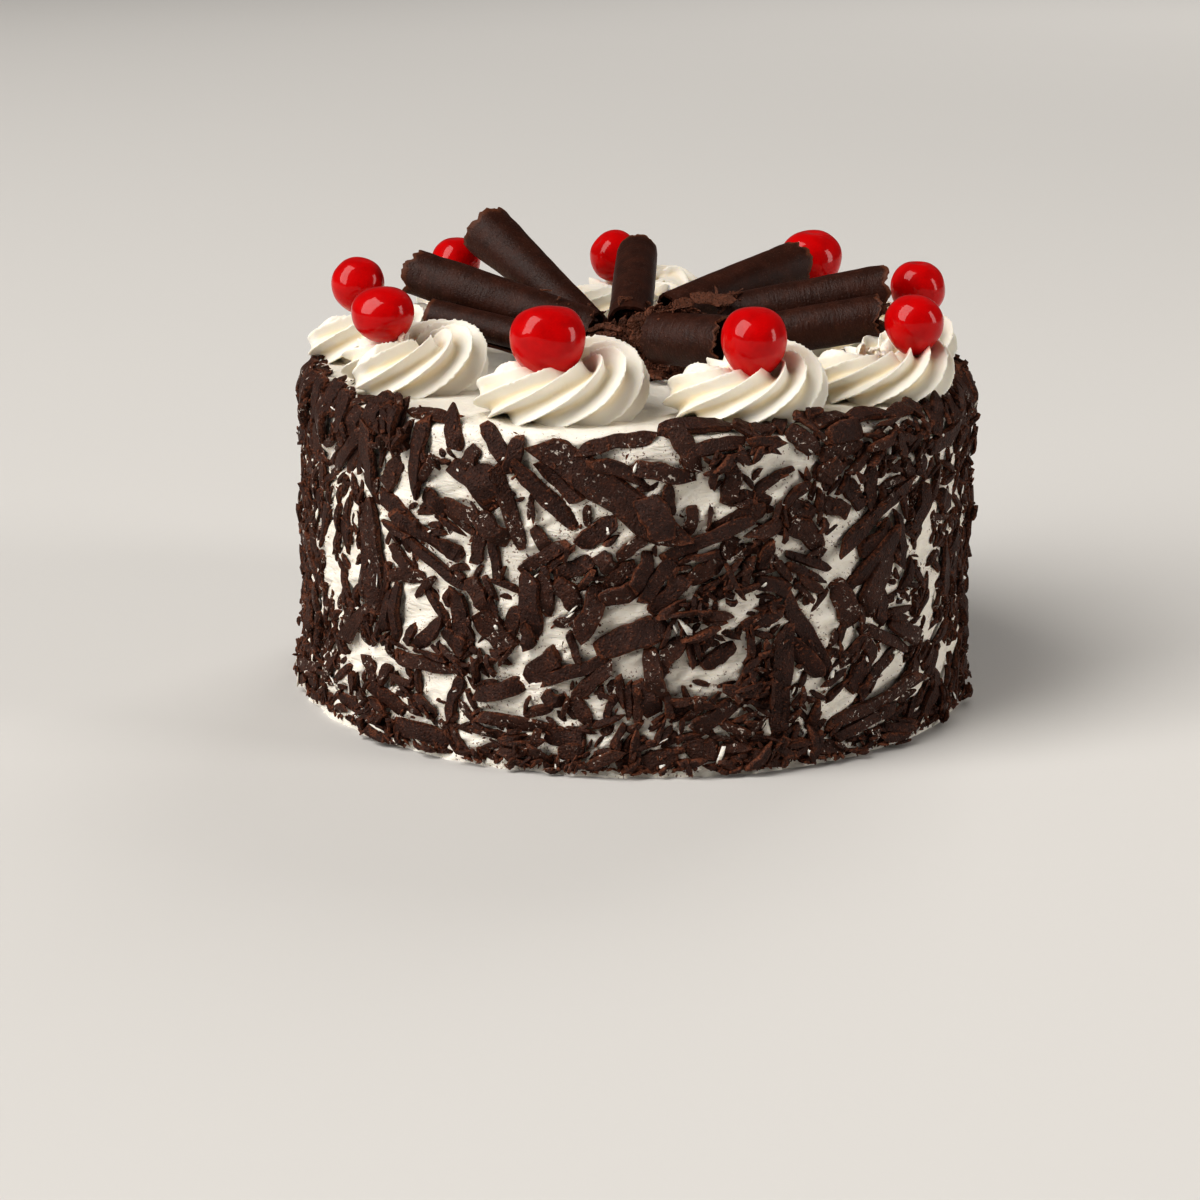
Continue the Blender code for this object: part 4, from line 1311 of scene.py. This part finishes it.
class CAKE_OT_curls(bpy.types.Operator):
    """Roll the chocolate curls"""
    bl_idname = "cake.curls"
    bl_label = "Chocolate Curls"

    # where the sheet's outer edge lies round each curl, in degrees; straight down is -90
    SEAMS = (-70, -90, -90, -60, -120, -80, -100, -130)
    # how much longer than its solid each curl is at its inner and its outer end, and how much
    # lower its inner end lies, in mm
    ENDS = ((0, 0, 3.0), (8, 0, 0), (0, 0, 0), (6, 0, 0), (6, 0, 0.8), (0, 0, 0), (0, 0, 0), (0, -5.5, 0))
    TUCK = 2.0 * MM                 # how far the sheet's last lap tucks in under the first
    BULGE = 0.4 * MM                # how far a curl stands out from its solid

    def execute(self, context):
        settings = context.scene.cake_curls
        material = curl_finish(settings.chocolate)
        for number, node in enumerate(CURL_NODES):
            piece = self.roll(settings, number, node)
            finish_piece(piece, "dark_chocolate", material, node)
        return {"FINISHED"}

    def measure(self, node):
        """A curl's two ends and its radius at each, from its solid."""
        points = coordinates(frame["nodes"][node].data)
        middle = points.mean(0)
        axis = np.linalg.svd(points - middle)[2][0]
        for _ in range(2):
            place = (points - middle) @ axis
            ends = []
            side, up = level_and_up(axis)
            for near in (place < np.quantile(place, 0.2), place > np.quantile(place, 0.8)):
                cloud = points[near] - middle
                flat = np.stack([cloud @ side, cloud @ up], 1)
                centre = (flat.max(0) + flat.min(0)) / 2
                radius = (flat.max(0) - flat.min(0)).mean() / 2
                ends.append((middle + side * centre[0] + up * centre[1] + axis * place[near].mean(), radius))
            axis = unit(ends[1][0] - ends[0][0])
        (first, small), (last, large) = ends
        place = (points - first) @ axis
        grow = (large - small) / np.linalg.norm(last - first)
        low, high = place.min() + 0.5 * MM, place.max() - 1.0 * MM
        ends = [(first + axis * low, small + grow * low), (first + axis * high, small + grow * high)]
        if np.linalg.norm(ends[0][0][:2]) > np.linalg.norm(ends[1][0][:2]):
            ends.reverse()
        return ends

    def roll(self, settings, number, node):
        """One curl: a sheet rolled into a spiral, with broken ends and a worn edge."""
        (inner, inner_radius), (outer, outer_radius) = self.measure(node)
        random = np.random.default_rng(40 + number)
        axis = unit(outer - inner)
        longer_in, longer_out, lower = (value * MM for value in self.ENDS[number])
        inner = inner - axis * longer_in - (0, 0, lower)
        outer = outer + axis * longer_out
        length = np.linalg.norm(outer - inner)
        axis = unit(outer - inner)
        side, up = level_and_up(axis)
        rows, columns = 72, 130
        turns = settings.turns + random.uniform(-0.12, 0.2)
        # share runs from the inner to the outer end, part round the roll
        share, part = np.repeat(np.linspace(0, 1, rows), columns), np.tile(np.linspace(0, 1, columns), rows)
        wound = part * turns
        girth = math.tau * (inner_radius + outer_radius) / 2
        sheet = np.stack([share * length, wound * girth, np.full(len(part), number * 0.1)], 1)
        angle = math.radians(self.SEAMS[number]) + wound * math.tau
        radius = inner_radius + (outer_radius - inner_radius) * share + self.BULGE
        radius -= self.TUCK * smooth(0.70, 1.02, wound) + self.TUCK * np.maximum(wound - 1, 0)
        radius += 0.20 * MM * grain(sheet, 10 * MM, 6) + 0.07 * MM * grain(sheet, 2.6 * MM, 7)
        ends = np.maximum(1 - share * 6, share * 6 - 5)
        radius += 0.45 * MM * np.clip(ends, 0, 1) * grain(sheet, 4.5 * MM, 8 + number)
        break_line = np.stack([wound * girth, np.where(share < 0.5, 0, 0.3), part * 0], 1)
        broken = grain(break_line, 6 * MM, 9 + number) + 0.7 * grain(break_line, 1.9 * MM, 10 + number)
        broken += 0.5 * grain(break_line, 0.8 * MM, 30 + number)
        inset = settings.ragged * np.where(share < 0.5, 0.5, 1.0) * (0.2 + broken)
        inset += 2.4 * MM * np.clip(wound - 0.8, 0, 1) * random.uniform(0.2, 1.5)
        inset = np.clip(inset, -1.6 * MM, 5 * MM)
        along = share * length
        end_pull = np.where(share < 0.5, 1 - share * 2, share * 2 - 1) ** 4
        along += np.where(share < 0.5, inset, -inset) * end_pull
        worn = smooth(0.950, 1.0, np.maximum(share, 1 - share) + 0.014 * grain(sheet, 1.6 * MM, 12))
        worn *= np.where(share < 0.5, 0.3, 1.0)
        worn = np.maximum(worn, smooth(0.03, 0.0, part) * 0.8)
        wall = settings.wall * (1 - 0.30 * worn)
        flat = np.stack([np.cos(angle), np.sin(angle)], 1)
        skin = []
        for inset_wall in (0 * wall, wall):
            reach = radius - inset_wall
            skin.append(inner + np.outer(along, axis) + np.outer(flat[:, 0] * reach, side)
                        + np.outer(flat[:, 1] * reach, up))
        points = np.vstack(skin)
        faces = grid_faces(rows, columns, closed=False)
        faces += [face[::-1] for face in grid_faces(rows, columns, closed=False, start=rows * columns)]
        faces += self.border(rows, columns)
        piece = new_object(node.replace("curl", "chocolate_curl"), points, faces)
        fix_outward(piece.data)
        set_attribute(piece.data, "edge", np.tile(worn, 2))
        set_attribute(piece.data, "sheet", np.tile(sheet, (2, 1)), "FLOAT_VECTOR")
        shade(piece.data, 50)
        return piece

    def border(self, rows, columns):
        """Quads that close the sheet's four edges."""
        corner = (rows - 1) * columns
        loop = list(range(columns - 1))
        loop += [k * columns + columns - 1 for k in range(rows - 1)]
        loop += [corner + k for k in range(columns - 1, 0, -1)]
        loop += [k * columns for k in range(rows - 1, 0, -1)]
        under = rows * columns
        after = loop[1:] + loop[:1]
        return [[b, a, a + under, b + under] for a, b in zip(loop, after)]


class CAKE_OT_shavings(bpy.types.Operator):
    """Heap the loose shavings over the inner ends of the curls"""
    bl_idname = "cake.shavings"
    bl_label = "Shavings Heap"

    # drifts of shavings: middle and spread in mm, and a share of the slivers
    DRIFTS = (
        (-3, -12, 6, 4, 0.10), (-9, -15, 5, 4, 0.06), (0, -5, 6, 3.5, 0.16), (7, -18.5, 6, 3, 0.14),
        (14, -24, 6, 2.5, 0.08), (9, -8, 6, 5, 0.12), (15, -3, 6, 4, 0.18), (24, 2, 6, 3, 0.06),
        (0, -4, 16, 13, 0.10))
    # single shards: middle in mm, slope, turn and lean in degrees, length, width, thickness in mm
    SHARDS = (
        (0.5, -16, 118.3, -82, 8, 80, 9.5, 7.5, 1.2), (-4.8, 3, 114.8, 88, -4, 84, 9, 3, 0.9),
        (-2.4, 1, 115.5, 80, 6, 80, 9, 2.4, 0.9), (-7.4, 4, 114.2, 99, -14, 80, 8, 2.2, 0.8),
        (-9, -12.6, 118.2, -12, 0, 50, 9, 2, 0.8), (-12.8, -12.6, 118.4, 18, 10, 60, 8, 1.8, 0.7),
        (-6, -12, 117.4, -30, 20, 50, 8, 2, 0.8), (-11, -12.9, 116.2, 5, -8, 70, 9, 1.8, 0.8),
        (4.5, -25.5, 105.2, 0, -48, 6, 9.5, 5.2, 1.4), (24, -2, 126.0, -6, -22, 30, 15, 6, 1.1),
        (14, -4, 124.5, 10, 35, 40, 8, 5, 1.0), (-11, -14.5, 112, 40, 60, 60, 9, 4, 1.0))

    def execute(self, context):
        settings = context.scene.cake_shavings
        random = np.random.default_rng(31)
        low, high = corners("shavings_heap")
        material = flake_finish("loose_shavings", settings.colour, [c * 1.9 for c in settings.colour], 0.8)
        finish_piece(self.mound(low, high), "chocolate_shavings", material, "shavings_heap")
        under = ("chocolate_curl", "shavings_mound")
        ground = [BVHTree.FromObject(thing, context.evaluated_depsgraph_get())
                  for thing in context.scene.objects if thing.name.startswith(under)]
        heap = {"slivers": [], "crumbs": [], "shards": []}
        shares = np.array([drift[4] for drift in self.DRIFTS])
        for kind in ("slivers", "crumbs"):
            for _ in range(getattr(settings, kind)):
                x, y, wide, deep, _ = self.DRIFTS[random.choice(len(shares), p=shares / shares.sum())]
                x, y = random.normal(x, wide * 0.6) * MM, random.normal(y, deep * 0.6) * MM
                spot, normal = self.drop(ground, x, y)
                if spot is None or random.random() > normal[2] + 0.25:
                    continue
                if kind == "slivers":
                    size = random.uniform((2.2, 0.45, 0.3), (7.0, 1.5, 0.6)) * MM
                    lift = random.uniform(0.0, 1.25) ** 2 * MM
                    axes = self.any_axes(random, 0.36, normal)
                else:
                    size = random.uniform(0.5, 1.7) * MM * random.uniform(0.6, 1.3, 3)
                    lift, axes = 0.1 * MM, self.any_axes(random, 2.0, normal)
                shape = random.integers(SHAPES[kind])
                heap[kind].append((spot + (0, 0, lift), axes, size, shape, random.uniform(0, 0.8)))
        for *spot, slope, turn, lean, length, width, thick in self.SHARDS:
            axes = Matrix.Rotation(math.radians(turn), 3, "Z") @ Matrix.Rotation(math.radians(lean), 3, "X")
            axes = axes @ Matrix.Rotation(math.radians(slope), 3, "Z")
            size = np.array((length, width, thick)) * MM
            shape = random.integers(SHAPES["shards"])
            heap["shards"].append((np.array(spot) * MM, np.array(axes), size, shape, 0.4))
        shapes = {
            "slivers": several("slivers", self.shred, random),
            "crumbs": several("crumbs", crumb_shape, random),
            "shards": several("shards", flake_shape, random, 14, True)}
        tree = scatter_tree()
        for kind in shapes:
            piece = scatter("heap_" + kind, heap[kind], shapes[kind], material, tree)
            finish_piece(piece, "chocolate_shavings", material)
        return {"FINISHED"}

    def drop(self, ground, x, y):
        """The highest point of the curls and the mound below a place on the plan."""
        best = None, None
        for tree in ground:
            place, normal, _, _ = tree.ray_cast(Vector((x, y, 1.0)), Vector((0, 0, -1)))
            if place is not None and (best[0] is None or place.z > best[0][2]):
                best = np.array(place), np.array(normal)
        return best

    def shred(self, name, random):
        """A thin curly strip about one unit long."""
        stations = 8
        bend = random.uniform(0.3, 1.7)
        along = np.linspace(-0.5, 0.5, stations)
        x, z = np.sin(along * bend) / bend, (1 - np.cos(along * bend)) / bend * random.choice((-1, 1)) * 5
        sway = random.uniform(-0.8, 0.8)
        points = []
        for k in range(stations):
            half = 0.5 * (1 - 0.6 * abs(along[k] * 2) ** 3) * random.uniform(0.75, 1.1)
            y = sway * math.sin(along[k] * 5 + 1)
            for side, level in ((-half, 0), (-half * 0.9, 1), (half * 0.9, 1), (half, 0)):
                points.append((x[k], y + side, z[k] + level * 0.8 + 0.4 * side))
        shape = rod(name, points, 4)
        set_attribute(shape.data, "edge", random.uniform(0.2, 1.0, len(points)))
        shade(shape.data, 40)
        return shape

    def surface(self, low, high, turn, part):
        """A point of the heap, part of the way from its middle to its foot."""
        middle, half = (low + high) / 2, (high - low) / 2
        uneven = 1 + 0.16 * math.sin(3 * turn + 1) + 0.10 * math.sin(5 * turn)
        tall = (high - low)[2]
        height = tall * (1 - part ** 1.6) * (0.74 + 0.12 * math.sin(2 * turn + part * 5))
        return np.array([middle[0] + half[0] * part * uneven * math.cos(turn),
                         middle[1] + half[1] * part * uneven * math.sin(turn),
                         low[2] + height])

    def mound(self, low, high):
        """The rough core of the heap, from its foot up to its top, closed underneath."""
        rows, columns = 30, 90
        points = []
        for k in range(rows):
            part = 1 - k / rows
            for step in range(columns):
                points.append(self.surface(low, high, step / columns * math.tau, part))
        top, foot = len(points), len(points) + 1
        points.append(self.surface(low, high, 0, 0))
        points.append((low + high) / 2 * (1, 1, 0) + (0, 0, low[2]))
        points = np.array(points)
        rough = 2.0 * MM * grain(points, 5 * MM, 21) + 1.0 * MM * grain(points, 2.2 * MM, 22)
        points[:-1, 2] = np.maximum(points[:-1, 2] + rough[:-1], low[2])
        faces = grid_faces(rows, columns) + cap_faces(rows, columns, foot, top)
        piece = new_object("shavings_mound", points, faces)
        # broken-edge colour grows with the bumps: browner on the mound's high points, darker in its dips
        set_attribute(piece.data, "edge", np.clip(0.3 + rough / (2 * MM), 0, 1))
        set_attribute(piece.data, "tint", np.full(len(points), 0.3))
        shade(piece.data, 40)
        return piece

    def any_axes(self, random, loose, above):
        """A random turn; a small loose value keeps a sliver nearly flat on what lies below."""
        normal = unit(above + random.normal(0, loose, 3))
        first = unit(np.cross(normal, random.normal(0, 1, 3)))
        return np.stack([first, np.cross(normal, first), normal], 1)


class CAKE_OT_stage(bpy.types.Operator):
    """Lay the floor, hang the lights and set up the camera"""
    bl_idname = "cake.stage"
    bl_label = "Stage"

    FLOOR = 16.0                    # half the floor's width
    # the camera's place, how far it looks down and is rolled in degrees, and its sensor's width in mm
    CAMERA, DOWN, ROLL, SENSOR = (-0.01124, -0.89385, 0.26503), 15.04, 0.7, 36
    # each light's setting, azimuth and height in degrees, distance, width and height, and colour
    LIGHTS = (
        ("key", -58, 41, 6.0, (3.6, 7.4), (1.0, 0.975, 0.94)),
        ("strip", 74, 9, 2.2, (0.65, 2.2), (1.0, 0.97, 0.93)),
        ("fill", 158, 32, 6.0, (3.0, 3.0), (1.0, 0.98, 0.95)))

    def execute(self, context):
        settings = context.scene.cake_stage
        plan = ((-1, -1, 0), (1, -1, 0), (1, 1, 0), (-1, 1, 0))
        floor = new_object("floor", np.array(plan) * self.FLOOR, [[0, 1, 2, 3]])
        floor.data.materials.append(floor_finish(settings.floor))
        for name, *place in self.LIGHTS:
            light = self.light(name + "_light", getattr(settings, name), *place)
            light.visible_glossy = name != "fill"
        world = bpy.data.worlds.new("room")
        world.use_nodes = True
        background = world.node_tree.nodes["Background"]
        background.inputs["Color"].default_value = (1.0, 0.97, 0.94, 1.0)
        background.inputs["Strength"].default_value = settings.world
        context.scene.world = world
        context.scene.view_settings.view_transform = "Standard"
        context.scene.view_settings.look = "Medium High Contrast"
        camera = bpy.data.objects.new("camera", bpy.data.cameras.new("camera"))
        camera.data.lens = settings.lens
        camera.data.sensor_width = self.SENSOR
        camera.matrix_world = (
            Matrix.Translation(self.CAMERA) @ Matrix.Rotation(math.radians(90 - self.DOWN), 4, "X")
            @ Matrix.Rotation(math.radians(self.ROLL), 4, "Z"))
        context.scene.collection.objects.link(camera)
        context.scene.camera = camera
        return {"FINISHED"}

    def light(self, name, power, azimuth, height, distance, size, colour):
        """A rectangular soft light that points at the cake."""
        lamp = bpy.data.lights.new(name, "AREA")
        lamp.energy, lamp.shape = power, "RECTANGLE"
        lamp.size, lamp.size_y = size
        lamp.color = colour
        thing = bpy.data.objects.new(name, lamp)
        azimuth, height = math.radians(azimuth), math.radians(height)
        away = Vector(around(azimuth, math.cos(height), math.sin(height)))
        target = Vector((0, 0, BODY_HIGH.z * 0.6))
        turn = away.to_track_quat("Z", "Y").to_matrix().to_4x4()
        thing.matrix_world = Matrix.Translation(target + away * distance) @ turn
        thing.visible_camera = False
        bpy.context.scene.collection.objects.link(thing)
        return thing


class CAKE_PT_panel(bpy.types.Panel):
    bl_idname = "CAKE_PT_panel"
    bl_label = "Black Forest Cake"
    bl_space_type = "VIEW_3D"
    bl_region_type = "UI"
    bl_category = "Cake"

    def draw(self, context):
        for operator, group in STEPS:
            box = self.layout.box()
            box.operator(operator.bl_idname)
            settings = getattr(context.scene, group)
            for name in settings.bl_rna.properties.keys():
                if name not in ("rna_type", "name"):
                    box.prop(settings, name)


STEPS = (
    (CAKE_OT_cream_coat, "cake_coat"), (CAKE_OT_flakes, "cake_coat"), (CAKE_OT_swirls, "cake_swirls"),
    (CAKE_OT_cherries, "cake_cherries"), (CAKE_OT_curls, "cake_curls"), (CAKE_OT_shavings, "cake_shavings"),
    (CAKE_OT_stage, "cake_stage"))
GROUPS = (
    ("cake_coat", CoatSettings), ("cake_swirls", SwirlSettings), ("cake_cherries", CherrySettings),
    ("cake_curls", CurlSettings), ("cake_shavings", ShavingsSettings), ("cake_stage", StageSettings))


def register():
    for name, group in GROUPS:
        bpy.utils.register_class(group)
        setattr(bpy.types.Scene, name, PointerProperty(type=group))
    for operator, _ in STEPS:
        bpy.utils.register_class(operator)
    bpy.utils.register_class(CAKE_PT_panel)


def unregister():
    bpy.utils.unregister_class(CAKE_PT_panel)
    for operator, _ in reversed(STEPS):
        bpy.utils.unregister_class(operator)
    for name, group in reversed(GROUPS):
        delattr(bpy.types.Scene, name)
        bpy.utils.unregister_class(group)


def main():
    register()
    for operator, _ in STEPS:
        family, name = operator.bl_idname.split(".")
        getattr(getattr(bpy.ops, family), name)()


if __name__ == "__main__":
    main()
